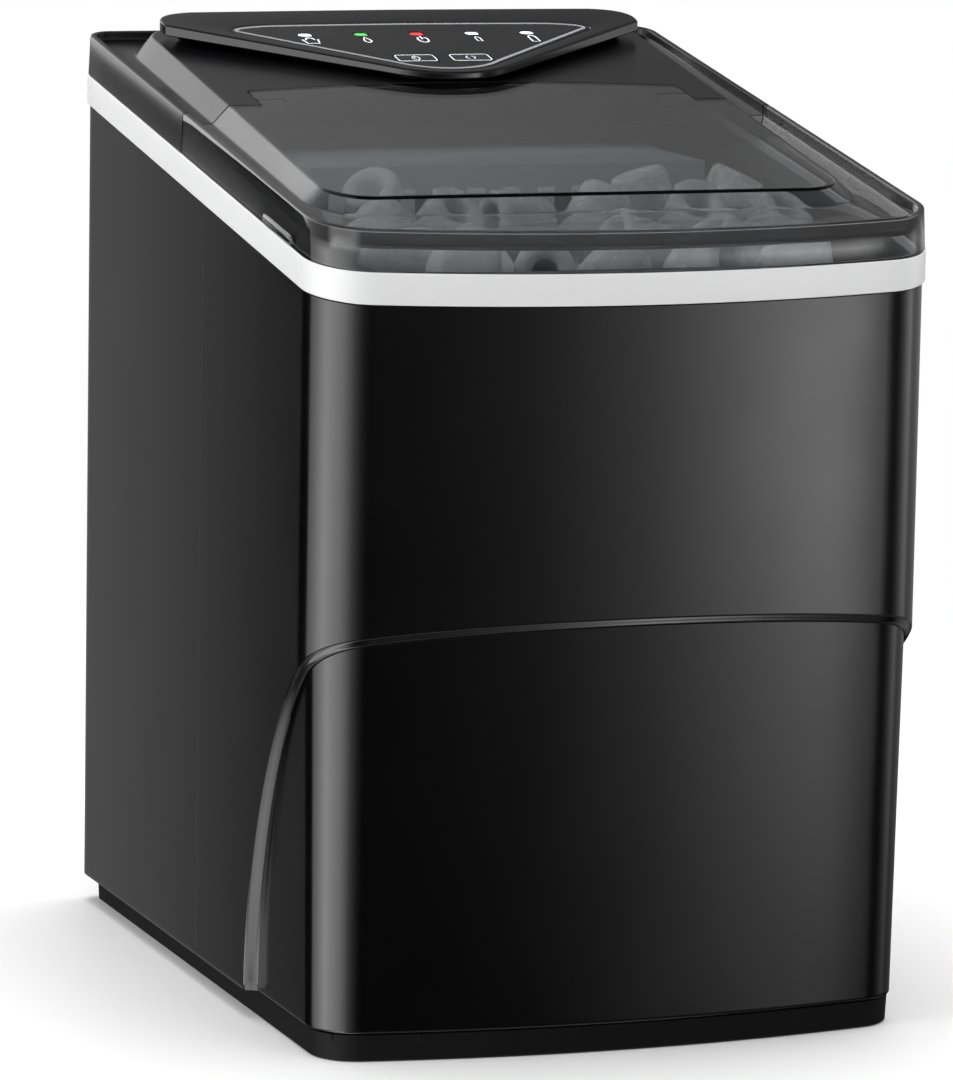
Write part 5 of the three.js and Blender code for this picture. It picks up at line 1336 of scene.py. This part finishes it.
def finish_of(name):
    """The finish that a piece of the frame takes."""
    # the liner takes a dark grey, a painted shade for the inside of the tub, not its pale slot
    if name == "inner_liner":
        return FINISHES["liner_grey"]
    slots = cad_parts[name].material_slots
    key = slots[0].material.name.split(".")[0] if slots and slots[0].material else "black_satin"
    return FINISHES.get(key, FINISHES["black_satin"])


def eased(name, width, slot, body="casing"):
    """A moulded piece with all its sharp edges rounded over, made from its plain block."""
    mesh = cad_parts[name].data.copy()
    mesh.name = name + "_eased"
    clean_mesh(mesh, 2e-5, lambda shape: bmesh.ops.dissolve_limit(
        shape, angle_limit=math.radians(1.5), verts=shape.verts, edges=shape.edges))
    mesh.materials.clear()
    mesh.materials.append(finish_of(name))
    piece = add_object(name + "_eased", mesh)
    round_over = piece.modifiers.new("round", "BEVEL")
    round_over.width, round_over.segments = width / 1000, 2
    round_over.limit_method, round_over.angle_limit = "ANGLE", math.radians(40)
    round_over.use_clamp_overlap = True
    settle(piece)
    smooth(piece, 35)
    place(piece, body, name, slot=slot)


EASED = [
    ("inner_liner", 1.0, "pale_grey"), ("evaporator_cover", 1.6, "pale_grey"),
    ("ice_basket", 0.5, "basket_grey", "basket"), ("water_tray", 0.6, "pale_grey", "tray"),
    ("ice_shovel", 0.35, "pale_grey", "shovel"), ("fan_frame", 0.6, "black_satin"),
    ("cord_gland", 0.6, "rubber_black"), ("drain_cap", 0.7, "rubber_black", "drain_cap"),
    ("drain_spout", 0.3, "pale_grey"),
    *(("foot_" + corner, 0.9, "rubber_black")
      for corner in ("front_left", "front_right", "rear_left", "rear_right")),
]


def rear_screws():
    """Four pan-head screws with a cross recess, seen on the back."""
    low, high = box_mm(REAR_SCREWS[0])
    radius, length = (high[0] - low[0]) / 2, high[1] - low[1]
    head, shank = radius * 0.62, 1.6
    profile = [(0.3, -length), (shank - 0.5, -length), (shank, -length + 0.8), (shank, -head),
               (radius - 0.2, -head), (radius, -head + 0.25), (radius * 0.94, -head * 0.45),
               (radius * 0.7, -head * 0.12), (radius * 0.3, 0)]
    screw = new_piece("screw", *loft(turned(profile, 28, (0, 2, 1))))
    for a, b in ((radius * 0.52, 0.34), (0.34, radius * 0.52)):
        carve(screw, loft([np.array([(side * a * k, y, up * b * k)
                                     for side, up in ((-1, -1), (1, -1), (1, 1), (-1, 1))])
                           for k, y in ((0.75, -head * 0.75), (1, 1.0))]))
    rows = []
    for i, name in enumerate(REAR_SCREWS):
        x, _, z = middle_mm(name)
        rows.append((x, box_mm(name)[1][1], z, 0, 17 + 31 * i, 0))
    screws = on_points("rear_screws", screw, rows, FINISHES["black_paint"])
    place(screws, "casing", *REAR_SCREWS, slot="steel")


# ---------------------------------------------------------------- carried-over pieces


def dress_frame():
    """Every piece of the frame that stays in view takes its own finish."""
    for name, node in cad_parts.items():
        if node.material_slots and node.material_slots[0].material:
            node.material_slots[0].material = finish_of(name)


for row in EASED:
    eased(*row)
for build in (rear_screws, dress_frame, front_shell, rear_shell, base_plinth, white_band, lid_gasket,
              smoky_lid, hard_cover, control_pod, printed_marks, lamps, keys, ice_heap):
    build()

scene = bpy.context.scene
scene.view_settings.view_transform = "Standard"
